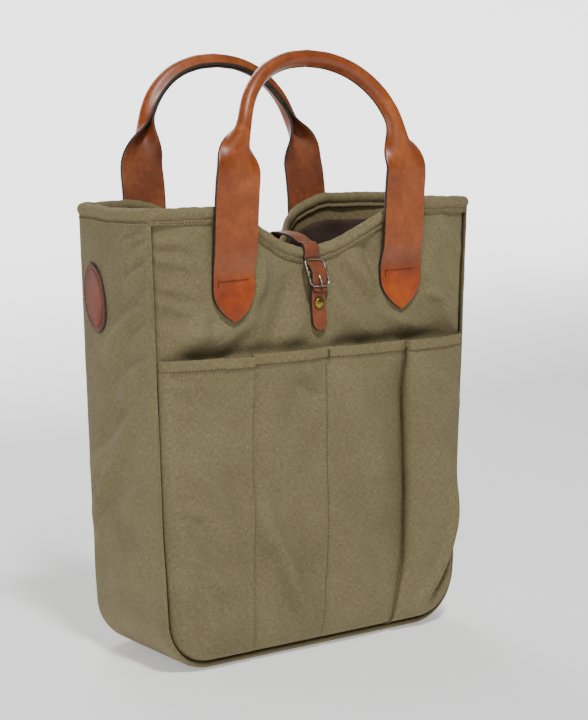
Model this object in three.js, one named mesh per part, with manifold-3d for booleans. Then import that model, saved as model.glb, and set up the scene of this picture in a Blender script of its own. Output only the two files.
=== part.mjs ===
// Canvas garden tool bag: a soft rectangular tote with a row of four outside pockets,
// two leather handles rolled round a cord core, and a leather closure strap with a
// centre-bar buckle and a press stud.  Millimetres, +Z up, X along the wide front,
// -Y towards the front.  The origin is on the ground under the middle of the base.
import * as THREE from 'three';
import { mergeVertices } from 'three/addons/utils/BufferGeometryUtils.js';
import Module from 'manifold-3d';

// Body.
const RIM_HEIGHT = 380;
const BODY_WIDTH = 319.4;
const SIDE_FLARE = 0.039;
const BODY_DEPTH = 114.8;
const CORNER_RADIUS = 45;
const SCOOP_DEPTH = 38;
const SCOOP_HALF = 108;
const CANVAS = 2;
const LINING = 1;
const GAP = 0.3;

// How the closure strap pulls the mouth together, and how the back bulges beside it.
const FRONT_PINCH = { depth: 16, spread: 55, from: 255, to: 350 };
const BACK_PINCH = { depth: 38, spread: 40, from: 180, to: 350 };
const BACK_BULGE = { depth: 16, inner: [20, 70], outer: [105, 160] };

// Rim trim, lining and base.
const BINDING_DROP = 11;
const BINDING_THICKNESS = 1.2;
const FACING_GAP = 0.7;
const LINING_GAP = 1.5;
const BINDING_STEP = CANVAS + FACING_GAP + LINING + FACING_GAP;
const FACING_DROP = 25;
const LINING_CLEARANCE = 4;
const BOARD_THICKNESS = 2;
const GUSSET_EDGE = BODY_DEPTH / 2 - CANVAS - GAP;
const TRIM_EDGE = GUSSET_EDGE - BINDING_STEP;
const WALL_COLUMNS = 26;

// Outside pockets.
const POCKET_TOP = 259;
const POCKET_BOTTOM = 3;
const POCKET_DEPTH = 5.9;
const POCKET_EDGE_WIDTH = 4;
const POCKET_DIVISIONS = [
  { name: 'pocket_pleat_left', top: -76, bottom: -75 },
  { name: 'pocket_seam_center', top: 4, bottom: 4 },
  { name: 'pocket_pleat_right', top: 88, bottom: 79 },
];
const HEM_DROP = 8;
const HEM_THICKNESS = 1;

// Handles.
const STRAP_X = 87;
const STRAP_WIDTH = 42.5;
const STRAP_THICKNESS = 3.2;
const TAB_TIP = 287;
const TAB_SHOULDER = 305;
const TAB_TOP = 321.6;
const STRAP_BOTTOM = 323;
const STRAP_TOP = 383;
const ROLL = { from: 405, to: 452, width: 31, radius: 5.1, thickness: 2.2 };
const CORE_RADIUS = 3.5;
const HANDLES = {
  front: {
    outward: -1,
    tab: { inner: -57.7, slope: 0 },
    strap: { inner: -58.2, slope: -0.0627 },
    path: [[87, -63.5, 384.6], [86, -65.6, 415], [84, -62, 446], [75, -54, 472],
      [53, -46, 490], [26, -41.5, 497.5], [0, -40, 499]],
  },
  back: {
    outward: 1,
    tab: { inner: 69, slope: 0.1176 },
    strap: { inner: 73.5, slope: 0.076 },
    path: [[87, 79.6, 384.6], [86, 85, 415], [84, 90.5, 446], [75, 95, 472],
      [53, 98, 490], [26, 99.5, 497.5], [0, 100, 499]],
  },
};

// Closure: the buckle lies in a plane that leans out from its top bar.
const CLOSURE_WIDTH = 15.5;
const CLOSURE_THICKNESS = 2;
const BUCKLE = { topY: -48.6, topZ: 334.5, length: 26.25, width: 21.5, bar: 2, lean: 26.5 };
const STUD = { z: 297, y: -55.9, capRadius: 4.8, ringInner: 3.3, ringOuter: 5.2, postRadius: 1.6 };

// Oval patch on the left side.
const PATCH = { y: 32, z: 304, halfWidth: 18.5, halfHeight: 30, thickness: 2, turn: 12 };

const manifold = await Module();
manifold.setup();

// ---------------------------------------------------------------- materials

function finish(color, roughness, metalness = 0) {
  return new THREE.MeshStandardMaterial({ color, roughness, metalness });
}
const canvas = () => finish(0x8c805f, 0.9);
const canvasTrim = () => finish(0x7d7352, 0.9);
const lining = () => finish(0x3c302a, 0.95);
const board = () => finish(0x8a7458, 0.9);
const leather = () => finish(0x964e28, 0.55);
const patchLeather = () => finish(0x965a41, 0.6);
const cord = () => finish(0xd8cdb8, 0.95);
const brass = () => finish(0x82732e, 0.35, 1);
const nickel = () => finish(0xbeafa5, 0.3, 1);

// ---------------------------------------------------------------- shape helpers

function smooth(value, from, to) {
  return THREE.MathUtils.smoothstep(value, from, to);
}

function bell(distance, spread) {
  return Math.exp(-((distance / spread) ** 2));
}

// Turns every face outward when the faces of a closed mesh point in.
function faceOutward(geometry) {
  const position = geometry.getAttribute('position');
  const index = geometry.getIndex();
  const a = new THREE.Vector3();
  const b = new THREE.Vector3();
  const c = new THREE.Vector3();
  let volume = 0;
  for (let i = 0; i < index.count; i += 3) {
    a.fromBufferAttribute(position, index.getX(i));
    b.fromBufferAttribute(position, index.getX(i + 1));
    c.fromBufferAttribute(position, index.getX(i + 2));
    volume += a.dot(b.cross(c));
  }
  if (volume > 0) return geometry;
  const order = Array.from(index.array).reverse();
  geometry.setIndex(order);
  return geometry;
}

function meshGeometry(points, faces) {
  const geometry = new THREE.BufferGeometry();
  geometry.setFromPoints(points);
  geometry.setIndex(faces);
  faceOutward(geometry);
  geometry.computeVertexNormals();
  return geometry;
}

// A closed sheet between two grids of points, each grid a list of rows.
function closedSheet(near, far) {
  const rows = near.length;
  const columns = near[0].length;
  const points = [...near.flat(), ...far.flat()];
  const layer = rows * columns;
  const faces = [];
  const quad = (a, b, c, d) => faces.push(a, b, c, a, c, d);
  for (let r = 0; r < rows - 1; r += 1) {
    for (let k = 0; k < columns - 1; k += 1) {
      const a = r * columns + k;
      quad(a, a + 1, a + 1 + columns, a + columns);
      quad(a + layer, a + columns + layer, a + 1 + columns + layer, a + 1 + layer);
    }
    const left = r * columns;
    const right = left + columns - 1;
    quad(left, left + columns, left + columns + layer, left + layer);
    quad(right, right + layer, right + columns + layer, right + columns);
  }
  const top = (rows - 1) * columns;
  for (let k = 0; k < columns - 1; k += 1) {
    quad(k, k + layer, k + 1 + layer, k + 1);
    quad(top + k, top + k + 1, top + k + 1 + layer, top + k + layer);
  }
  return meshGeometry(points, faces);
}

// A solid through a row of equal rings; section is the ring's flat outline for the caps.
function loft(rings, section) {
  const size = rings[0].length;
  const faces = [];
  for (let r = 0; r < rings.length - 1; r += 1) {
    for (let k = 0; k < size; k += 1) {
      const a = r * size + k;
      const b = r * size + ((k + 1) % size);
      faces.push(a, b, b + size, a, b + size, a + size);
    }
  }
  const last = (rings.length - 1) * size;
  const turn = THREE.ShapeUtils.isClockWise(section) ? -1 : 1;
  for (const [a, b, c] of THREE.ShapeUtils.triangulateShape(section, [])) {
    const [first, third] = turn > 0 ? [a, c] : [c, a];
    faces.push(third, b, first);
    faces.push(last + first, last + b, last + third);
  }
  return meshGeometry(rings.flat(), faces);
}

function extrude(shape, depth, steps = 12) {
  return new THREE.ExtrudeGeometry(shape, { depth, bevelEnabled: false, curveSegments: steps });
}

// The outline is drawn in X and Z, and the solid runs from one Y to another.
function extrudeAlongY(shape, from, to) {
  const geometry = extrude(shape, to - from);
  geometry.rotateX(Math.PI / 2);
  geometry.translate(0, to, 0);
  return geometry;
}

// The outline is drawn in Y and Z, and the solid is centred on X = 0.
function extrudeAlongX(shape, width) {
  const turn = new THREE.Matrix4().makeBasis(
    new THREE.Vector3(0, 1, 0),
    new THREE.Vector3(0, 0, 1),
    new THREE.Vector3(1, 0, 0),
  );
  const geometry = extrude(shape, width);
  geometry.translate(0, 0, -width / 2);
  return geometry.applyMatrix4(turn);
}

function toManifold(geometry) {
  const bare = geometry.clone();
  bare.deleteAttribute('normal');
  bare.deleteAttribute('uv');
  const merged = mergeVertices(bare, 1e-4);
  return new manifold.Manifold(new manifold.Mesh({
    numProp: 3,
    vertProperties: new Float32Array(merged.getAttribute('position').array),
    triVerts: new Uint32Array(merged.getIndex().array),
  }));
}

function fromManifold(solid) {
  const { vertProperties, triVerts } = solid.getMesh();
  const geometry = new THREE.BufferGeometry();
  geometry.setAttribute('position', new THREE.BufferAttribute(vertProperties, 3));
  geometry.setIndex(new THREE.BufferAttribute(triVerts, 1));
  geometry.computeVertexNormals();
  return geometry;
}

// ---------------------------------------------------------------- body surfaces

function halfWidth(z) {
  return (BODY_WIDTH / 2) * (1 + SIDE_FLARE * ((2 * z) / RIM_HEIGHT - 1));
}

function rimHeight(x) {
  if (Math.abs(x) >= SCOOP_HALF) return RIM_HEIGHT;
  return RIM_HEIGHT - (SCOOP_DEPTH * (1 + Math.cos((Math.PI * x) / SCOOP_HALF))) / 2;
}

// Lower edge of a panel whose bottom corners are rounded.
function bottomHeight(x, inset) {
  const beyond = Math.abs(x) - (halfWidth(CORNER_RADIUS) - CORNER_RADIUS);
  const radius = CORNER_RADIUS - inset;
  if (beyond <= 0) return inset;
  return CORNER_RADIUS - Math.sqrt(Math.max(0, radius ** 2 - beyond ** 2));
}

// Outer surface of the front or back wall.
function wallY(side, x, z) {
  if (side === 'front') {
    const pull = bell(x, FRONT_PINCH.spread) * smooth(z, FRONT_PINCH.from, FRONT_PINCH.to);
    return -BODY_DEPTH / 2 + FRONT_PINCH.depth * pull;
  }
  const rise = smooth(z, BACK_PINCH.from, BACK_PINCH.to);
  const shoulder = smooth(Math.abs(x), ...BACK_BULGE.inner)
    * (1 - smooth(Math.abs(x), ...BACK_BULGE.outer));
  const pull = BACK_PINCH.depth * bell(x, BACK_PINCH.spread);
  return BODY_DEPTH / 2 + rise * (BACK_BULGE.depth * shoulder - pull);
}

// A sheet of the front or back wall, between two depths measured inward.
function wallSheet(side, near, far, { inset, rows, crowding = 1, bottom, top }) {
  const inward = side === 'front' ? 1 : -1;
  const columns = WALL_COLUMNS;
  const grid = (depth) => {
    const list = [];
    for (let r = 0; r <= rows; r += 1) {
      const row = [];
      for (let k = 0; k <= columns; k += 1) {
        const u = (2 * k) / columns - 1;
        const xLow = u * (halfWidth(CORNER_RADIUS) - inset);
        const xHigh = u * (halfWidth(RIM_HEIGHT) - inset);
        const low = bottom(xLow);
        const z = low + (top(xHigh) - low) * (1 - (1 - r / rows) ** crowding);
        const x = u * (halfWidth(Math.max(z, CORNER_RADIUS)) - inset);
        row.push(new THREE.Vector3(x, wallY(side, x, z) + inward * depth, z));
      }
      list.push(row);
    }
    return list;
  };
  return closedSheet(grid(near), grid(far));
}

function wallPanel(side) {
  return wallSheet(side, 0, CANVAS, {
    inset: 0,
    rows: 12,
    crowding: 1.4,
    bottom: (x) => bottomHeight(x, 0),
    top: rimHeight,
  });
}

function wallLining(side) {
  const inset = CANVAS + LINING + 2 * GAP;
  return wallSheet(side, CANVAS + LINING_GAP, CANVAS + LINING_GAP + LINING, {
    inset,
    rows: 7,
    crowding: 1.4,
    bottom: (x) => bottomHeight(x, inset) + BOARD_THICKNESS,
    top: (x) => rimHeight(x) - FACING_DROP - LINING_CLEARANCE,
  });
}

function wallFacing(side) {
  return wallSheet(side, CANVAS + FACING_GAP, CANVAS + FACING_GAP + LINING, {
    inset: CANVAS + LINING + 2 * GAP,
    rows: 2,
    bottom: (x) => rimHeight(x) - FACING_DROP,
    top: rimHeight,
  });
}

// Binding folded over the rim of the front or back wall.
function wallBinding(side) {
  const inward = side === 'front' ? 1 : -1;
  const outer = -FACING_GAP - BINDING_THICKNESS;
  const inner = BINDING_STEP + BINDING_THICKNESS;
  const section = foldedSection(outer, inner);
  const end = halfWidth(RIM_HEIGHT) - CANVAS - 2 * GAP;
  const rings = [];
  for (let k = 0; k <= WALL_COLUMNS; k += 1) {
    const x = end * ((2 * k) / WALL_COLUMNS - 1);
    rings.push(section.map((point) => {
      const z = rimHeight(x) + point.y;
      return new THREE.Vector3(x, wallY(side, x, z) + inward * point.x, z);
    }));
  }
  return loft(rings, section);
}

// An upside-down U that clasps an edge whose top is at height 0.
function foldedSection(outer, inner) {
  const t = BINDING_THICKNESS;
  return [
    new THREE.Vector2(outer, -BINDING_DROP),
    new THREE.Vector2(outer + t, -BINDING_DROP),
    new THREE.Vector2(outer + t, GAP),
    new THREE.Vector2(inner - t, GAP),
    new THREE.Vector2(inner - t, -BINDING_DROP),
    new THREE.Vector2(inner, -BINDING_DROP),
    new THREE.Vector2(inner, GAP + t),
    new THREE.Vector2(outer, GAP + t),
  ];
}

function sideBinding(sign) {
  const edge = halfWidth(RIM_HEIGHT);
  const section = foldedSection(-GAP - BINDING_THICKNESS, BINDING_STEP + BINDING_THICKNESS);
  const outline = section.map((p) => new THREE.Vector2(sign * (edge - p.x), RIM_HEIGHT + p.y));
  return extrudeAlongY(new THREE.Shape(outline), -TRIM_EDGE, TRIM_EDGE);
}

// Points down one side wall and round its bottom corner, at a distance inside the outline.
function sideLine(sign, inset, top) {
  const arcSteps = 8;
  const radius = CORNER_RADIUS - inset;
  const centre = halfWidth(CORNER_RADIUS) - CORNER_RADIUS;
  const line = [new THREE.Vector2(sign * (halfWidth(top) - inset), top)];
  for (let k = 0; k <= arcSteps; k += 1) {
    const angle = (k / arcSteps) * (Math.PI / 2);
    line.push(new THREE.Vector2(
      sign * (centre + radius * Math.cos(angle)),
      CORNER_RADIUS - radius * Math.sin(angle),
    ));
  }
  return line;
}

function sideStrip(sign, inset, thickness, top, halfDepth) {
  const outline = [
    ...sideLine(sign, inset, top),
    ...sideLine(sign, inset + thickness, top).reverse(),
  ];
  return extrudeAlongY(new THREE.Shape(outline), -halfDepth, halfDepth);
}

function rectangle(left, bottom, right, top) {
  return new THREE.Shape([
    new THREE.Vector2(left, bottom),
    new THREE.Vector2(right, bottom),
    new THREE.Vector2(right, top),
    new THREE.Vector2(left, top),
  ]);
}

function sideFacing(sign) {
  const line = (inset) => [
    new THREE.Vector2(sign * (halfWidth(RIM_HEIGHT) - inset), RIM_HEIGHT),
    new THREE.Vector2(sign * (halfWidth(RIM_HEIGHT - FACING_DROP) - inset), RIM_HEIGHT - FACING_DROP),
  ];
  const outline = [...line(CANVAS + GAP), ...line(CANVAS + GAP + LINING).reverse()];
  return extrudeAlongY(new THREE.Shape(outline), -TRIM_EDGE, TRIM_EDGE);
}

const FLAT_HALF = halfWidth(CORNER_RADIUS) - CORNER_RADIUS;

function baseStrip(low, thickness, halfDepth) {
  const half = FLAT_HALF - GAP;
  return extrudeAlongY(rectangle(-half, low, half, low + thickness), -halfDepth, halfDepth);
}

// ---------------------------------------------------------------- pockets

const POCKET_FACE = -BODY_DEPTH / 2 - POCKET_DEPTH;

function pocketPanel() {
  return wallSheet('front', -POCKET_DEPTH - CANVAS, -POCKET_DEPTH, {
    inset: POCKET_BOTTOM,
    rows: 3,
    bottom: (x) => bottomHeight(x, POCKET_BOTTOM),
    top: () => POCKET_TOP,
  });
}

function pocketHem() {
  const outer = POCKET_FACE - CANVAS - GAP;
  const top = POCKET_TOP + GAP;
  const half = halfWidth(POCKET_TOP) - POCKET_BOTTOM;
  const outline = new THREE.Shape([
    new THREE.Vector2(outer, POCKET_TOP - HEM_DROP),
    new THREE.Vector2(outer, top),
    new THREE.Vector2(POCKET_FACE, top),
    new THREE.Vector2(POCKET_FACE, top + HEM_THICKNESS),
    new THREE.Vector2(outer - HEM_THICKNESS, top + HEM_THICKNESS),
    new THREE.Vector2(outer - HEM_THICKNESS, POCKET_TOP - HEM_DROP),
  ]);
  return extrudeAlongX(outline, 2 * half);
}

function pocketSpacer(outline) {
  return extrudeAlongY(new THREE.Shape(outline), POCKET_FACE + GAP, -BODY_DEPTH / 2 - GAP);
}

function pocketDivision({ top, bottom }) {
  const half = POCKET_EDGE_WIDTH / 2;
  const low = POCKET_BOTTOM + POCKET_EDGE_WIDTH + GAP;
  return pocketSpacer([
    new THREE.Vector2(bottom - half, low),
    new THREE.Vector2(bottom + half, low),
    new THREE.Vector2(top + half, POCKET_TOP),
    new THREE.Vector2(top - half, POCKET_TOP),
  ]);
}

function pocketSide(sign) {
  return pocketSpacer([
    ...sideLine(sign, POCKET_BOTTOM, POCKET_TOP),
    ...sideLine(sign, POCKET_BOTTOM + POCKET_EDGE_WIDTH, POCKET_TOP).reverse(),
  ]);
}

function pocketBottom() {
  const half = FLAT_HALF - GAP;
  const top = POCKET_BOTTOM + POCKET_EDGE_WIDTH;
  const strip = rectangle(-half, POCKET_BOTTOM, half, top);
  return pocketSpacer(strip.getPoints());
}

// ---------------------------------------------------------------- handles

// Leans a flat plate, whose inner face is on Y = 0, so that it follows a line in Y and Z.
function leanPlate(geometry, { inner, slope }, reference) {
  const shear = new THREE.Matrix4().set(
    1, 0, 0, 0,
    0, 1, slope, inner - slope * reference,
    0, 0, 1, 0,
    0, 0, 0, 1,
  );
  return geometry.applyMatrix4(shear);
}

function plate(shape, handle, line, reference) {
  const range = [0, handle.outward * STRAP_THICKNESS].sort((a, b) => a - b);
  return leanPlate(extrudeAlongY(shape, ...range), line, reference);
}

// Sewn end of a strap, with a pointed oval tip.
function handleTab(handle, sign) {
  const half = STRAP_WIDTH / 2;
  const centre = sign * STRAP_X;
  const shape = new THREE.Shape();
  shape.moveTo(centre + half, TAB_SHOULDER);
  shape.lineTo(centre + half, TAB_TOP);
  shape.lineTo(centre - half, TAB_TOP);
  shape.lineTo(centre - half, TAB_SHOULDER);
  shape.absellipse(centre, TAB_SHOULDER, half, TAB_SHOULDER - TAB_TIP, Math.PI, 2 * Math.PI, false);
  return plate(shape, handle, handle.tab, TAB_TIP);
}

function handleStrap(handle, sign) {
  const left = sign * STRAP_X - STRAP_WIDTH / 2;
  const shape = rectangle(left, STRAP_BOTTOM, left + STRAP_WIDTH, STRAP_TOP);
  return plate(shape, handle, handle.strap, STRAP_BOTTOM);
}

function handleCurve(handle) {
  const right = handle.path.map(([x, y, z]) => new THREE.Vector3(x, y, z));
  const left = handle.path.slice(0, -1).map(([x, y, z]) => new THREE.Vector3(-x, y, z));
  return new THREE.CatmullRomCurve3([...left, ...right.reverse()], false, 'centripetal');
}

// Directions across the grip at one place: along the arch's plane, and outward.
function gripFrame(curve, handle, place) {
  const centre = curve.getPointAt(place);
  const along = curve.getTangentAt(place);
  const across = new THREE.Vector3(0, handle.outward, 0).cross(along).normalize();
  const outward = along.clone().cross(across).normalize();
  return { centre, across, outward };
}

// The strip curls round until its edges meet on the side that faces the bag's inside.
function curledSection(rolled) {
  const steps = 8;
  const width = THREE.MathUtils.lerp(STRAP_WIDTH, ROLL.width, rolled);
  const thickness = THREE.MathUtils.lerp(STRAP_THICKNESS, ROLL.thickness, rolled);
  const bend = Math.max(rolled, 0.001) / ROLL.radius;
  const lift = (1 - Math.cos((width / 2) * bend)) / (2 * bend);
  const side = (offset) => {
    const list = [];
    for (let k = 0; k <= steps; k += 1) {
      const angle = width * (k / steps - 0.5) * bend;
      const radius = 1 / bend + offset;
      list.push(new THREE.Vector2(
        radius * Math.sin(angle),
        radius * Math.cos(angle) - 1 / bend + lift,
      ));
    }
    return list;
  };
  return [...side(thickness / 2), ...side(-thickness / 2).reverse()];
}

function ringAt({ centre, across, outward }, section) {
  return section.map((p) => centre.clone()
    .addScaledVector(across, p.x)
    .addScaledVector(outward, p.y));
}

function handleGrip(handle) {
  const stations = 26;
  const curve = handleCurve(handle);
  const rings = [];
  for (let k = 0; k <= stations; k += 1) {
    const frame = gripFrame(curve, handle, k / stations);
    const rolled = smooth(frame.centre.z, ROLL.from, ROLL.to);
    rings.push(ringAt(frame, curledSection(rolled)));
  }
  return loft(rings, curledSection(0));
}

function handleCore(handle) {
  const stations = 16;
  const margin = 0.24;
  const curve = handleCurve(handle);
  const circle = new THREE.Shape().absarc(0, 0, CORE_RADIUS, 0, 2 * Math.PI, false);
  const section = circle.getPoints(4).slice(0, -1);
  const rings = [];
  for (let k = 0; k <= stations; k += 1) {
    const place = margin + (1 - 2 * margin) * (k / stations);
    rings.push(ringAt(gripFrame(curve, handle, place), section));
  }
  return loft(rings, section);
}

// ---------------------------------------------------------------- closure

const DOWN = new THREE.Vector2(
  -Math.sin(THREE.MathUtils.degToRad(BUCKLE.lean)),
  -Math.cos(THREE.MathUtils.degToRad(BUCKLE.lean)),
);
const OUT = new THREE.Vector2(DOWN.y, -DOWN.x);

// A place beside the buckle: how far down its plane, and how far in front of it.
function atBuckle(down, out) {
  return new THREE.Vector2(BUCKLE.topY, BUCKLE.topZ)
    .addScaledVector(DOWN, down)
    .addScaledVector(OUT, out);
}

// Side view of a strap of even thickness along a line of points in Y and Z.
function strapShape(points, thickness) {
  const curve = new THREE.SplineCurve(points);
  const steps = points.length * 2;
  const sides = [[], []];
  for (let k = 0; k <= steps; k += 1) {
    const centre = curve.getPoint(k / steps);
    const along = curve.getTangent(k / steps);
    const normal = new THREE.Vector2(-along.y, along.x);
    sides[0].push(centre.clone().addScaledVector(normal, thickness / 2));
    sides[1].push(centre.clone().addScaledVector(normal, -thickness / 2));
  }
  return new THREE.Shape([...sides[0], ...sides[1].reverse()]);
}

function closureStrapPiece(points, width = CLOSURE_WIDTH) {
  return extrudeAlongX(strapShape(points, CLOSURE_THICKNESS), width);
}

function closureAnchor() {
  return closureStrapPiece([
    new THREE.Vector2(12.7, 341.4),
    new THREE.Vector2(12.9, 329),
    new THREE.Vector2(14.4, 316),
  ]);
}

function closureStrap() {
  return closureStrapPiece([
    new THREE.Vector2(12.4, 343.2),
    new THREE.Vector2(4, 345),
    new THREE.Vector2(-15, 344.6),
    new THREE.Vector2(-36.8, 346.7),
  ]);
}

// The strap goes behind the top bar, over the centre bar and behind the bottom bar.
function closureBillet() {
  const middle = BUCKLE.length / 2;
  const strap = closureStrapPiece([
    new THREE.Vector2(-37.6, 346.7),
    new THREE.Vector2(-42, 346.4),
    new THREE.Vector2(-45.6, 344),
    new THREE.Vector2(-46.6, 339.5),
    atBuckle(0, -2.6),
    atBuckle(5.5, -0.6),
    atBuckle(10, 1.9),
    atBuckle(middle, 2.6),
    atBuckle(16.5, 1.6),
    atBuckle(20, -0.2),
    atBuckle(23.5, -1.9),
    atBuckle(BUCKLE.length, -2.5),
    atBuckle(31, -2.3),
  ]);
  const slot = new THREE.BoxGeometry(3.4, 12, 12);
  const place = atBuckle(15.2, 3);
  slot.rotateX(-THREE.MathUtils.degToRad(BUCKLE.lean));
  slot.translate(0, place.x, place.y);
  return fromManifold(toManifold(strap).subtract(toManifold(slot)));
}

// Places a shape drawn across and up the buckle's plane, centred on the plane.
function onBucklePlane(shape, thickness) {
  const geometry = extrude(shape, thickness, 4);
  geometry.translate(0, 0, -thickness / 2);
  const place = new THREE.Matrix4().makeBasis(
    new THREE.Vector3(1, 0, 0),
    new THREE.Vector3(0, -DOWN.x, -DOWN.y),
    new THREE.Vector3(0, OUT.x, OUT.y),
  ).setPosition(0, BUCKLE.topY, BUCKLE.topZ);
  return geometry.applyMatrix4(place);
}

function buckleFrame() {
  const half = BUCKLE.width / 2;
  const bar = BUCKLE.bar / 2;
  const middle = -BUCKLE.length / 2;
  const corner = 3;
  const shape = new THREE.Shape();
  shape.moveTo(half, bar - corner);
  shape.absarc(half - corner, bar - corner, corner, 0, Math.PI / 2, false);
  shape.absarc(corner - half, bar - corner, corner, Math.PI / 2, Math.PI, false);
  shape.absarc(corner - half, corner - bar - BUCKLE.length, corner, Math.PI, 1.5 * Math.PI, false);
  shape.absarc(half - corner, corner - bar - BUCKLE.length, corner, 1.5 * Math.PI, 2 * Math.PI, false);
  const inner = half - BUCKLE.bar;
  shape.holes.push(rectangle(-inner, middle + bar, inner, -bar));
  shape.holes.push(rectangle(-inner, bar - BUCKLE.length, inner, middle - bar));
  return onBucklePlane(shape, BUCKLE.bar);
}

function buckleProng() {
  const width = 2.2;
  const middle = BUCKLE.length / 2;
  const ring = new THREE.Shape().absarc(0, 0, 2.9, 0, 2 * Math.PI, false);
  ring.holes.push(new THREE.Path().absarc(0, 0, 1.75, 0, 2 * Math.PI, true));
  const loop = extrudeAlongX(ring, width);
  const centre = atBuckle(middle, 0);
  loop.translate(0, centre.x, centre.y);
  const rod = closureRod([atBuckle(middle + 2.2, 0.6), atBuckle(middle + 8, 1.9),
    atBuckle(BUCKLE.length + 1.2, 2.3)], width);
  return fromManifold(toManifold(loop).add(toManifold(rod)));
}

function closureRod(points, width) {
  const thickness = 1.5;
  return extrudeAlongX(strapShape(points, thickness), width);
}

function snapTab() {
  return closureStrapPiece([
    atBuckle(17, -2.3),
    atBuckle(20, -3.2),
    atBuckle(24, -4.6),
    new THREE.Vector2(STUD.y + 0.1, 308.5),
    new THREE.Vector2(STUD.y, STUD.z),
    new THREE.Vector2(STUD.y - 0.8, 289),
    new THREE.Vector2(STUD.y - 3.4, 274),
  ], CLOSURE_WIDTH - 1);
}

function revolve(profile) {
  const points = profile.map(([radius, y]) => new THREE.Vector2(radius, y));
  const geometry = new THREE.LatheGeometry(points, 20);
  geometry.deleteAttribute('normal');
  geometry.deleteAttribute('uv');
  const solid = mergeVertices(geometry, 1e-4);
  solid.translate(0, 0, STUD.z);
  return faceOutward(solid);
}

function snapCap() {
  const base = STUD.y - CLOSURE_THICKNESS / 2 - 2 * GAP;
  const r = STUD.capRadius;
  return revolve([[0, base], [r, base], [r, base - 0.8], [r * 0.8, base - 1.8], [0, base - 2.3]]);
}

function snapSocket() {
  const base = STUD.y + CLOSURE_THICKNESS / 2 + GAP;
  const { ringInner, ringOuter } = STUD;
  return revolve([[ringInner, base], [ringOuter, base], [ringOuter, base + 0.8],
    [ringInner, base + 0.8], [ringInner, base]]);
}

function snapPost() {
  const wall = -51.75;
  const r = STUD.postRadius;
  return revolve([[0, wall], [r + 1, wall], [r + 1, wall - 0.5], [r, wall - 0.5],
    [r, wall - 2.4], [0, wall - 2.4]]);
}

// ---------------------------------------------------------------- side patch

function leatherPatch() {
  const oval = new THREE.Shape().absellipse(
    0, 0, PATCH.halfWidth, PATCH.halfHeight, 0, 2 * Math.PI, false,
    THREE.MathUtils.degToRad(-PATCH.turn),
  );
  const geometry = extrudeAlongX(oval, PATCH.thickness);
  const lean = Math.atan2(halfWidth(RIM_HEIGHT) - halfWidth(0), RIM_HEIGHT);
  geometry.rotateY(-lean);
  geometry.translate(-halfWidth(PATCH.z) - GAP - PATCH.thickness / 2, PATCH.y, PATCH.z);
  return geometry;
}

// ---------------------------------------------------------------- assembly

const bag = new THREE.Group();

function add(name, geometry, material) {
  const part = new THREE.Mesh(geometry, material);
  part.name = name;
  bag.add(part);
}

for (const side of ['front', 'back']) {
  add(`${side}_panel`, wallPanel(side), canvas());
  add(`${side}_lining`, wallLining(side), lining());
  add(`${side}_facing`, wallFacing(side), canvasTrim());
  add(`${side}_rim_binding`, wallBinding(side), canvasTrim());
}
for (const [side, sign] of [['left', -1], ['right', 1]]) {
  add(`${side}_gusset`, sideStrip(sign, 0, CANVAS, RIM_HEIGHT, GUSSET_EDGE), canvas());
  add(`${side}_lining`, sideStrip(sign, CANVAS + GAP, LINING,
    RIM_HEIGHT - FACING_DROP - GAP, TRIM_EDGE), lining());
  add(`${side}_facing`, sideFacing(sign), canvasTrim());
  add(`${side}_rim_binding`, sideBinding(sign), canvasTrim());
  add(`pocket_${side}_edge`, pocketSide(sign), canvas());
}
add('base_gusset', baseStrip(0, CANVAS, GUSSET_EDGE), canvas());
add('base_board', baseStrip(CANVAS + GAP, BOARD_THICKNESS, TRIM_EDGE), board());
add('base_lining', baseStrip(CANVAS + BOARD_THICKNESS + 2 * GAP, LINING, TRIM_EDGE), lining());
add('pocket_panel', pocketPanel(), canvas());
add('pocket_hem', pocketHem(), canvasTrim());
add('pocket_bottom_edge', pocketBottom(), canvas());
for (const division of POCKET_DIVISIONS) {
  add(division.name, pocketDivision(division), canvas());
}
for (const [name, handle] of Object.entries(HANDLES)) {
  for (const [side, sign] of [['left', -1], ['right', 1]]) {
    add(`${name}_${side}_tab`, handleTab(handle, sign), leather());
    add(`${name}_${side}_strap`, handleStrap(handle, sign), leather());
  }
  add(`${name}_grip`, handleGrip(handle), leather());
  add(`${name}_grip_core`, handleCore(handle), cord());
}
add('closure_anchor', closureAnchor(), leather());
add('closure_strap', closureStrap(), leather());
add('closure_billet', closureBillet(), leather());
add('buckle_frame', buckleFrame(), nickel());
add('buckle_prong', buckleProng(), nickel());
add('snap_tab', snapTab(), leather());
add('snap_cap', snapCap(), brass());
add('snap_socket', snapSocket(), brass());
add('snap_post', snapPost(), brass());
add('leather_patch', leatherPatch(), patchLeather());

export default bag;
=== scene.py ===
"""Looks of the canvas garden tool bag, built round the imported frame.

Shapes are worked out in millimetres in the frame's own axes (X along the front, -Y towards
the front, +Z up) and turned into metres when a mesh is made.
"""
import math

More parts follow.
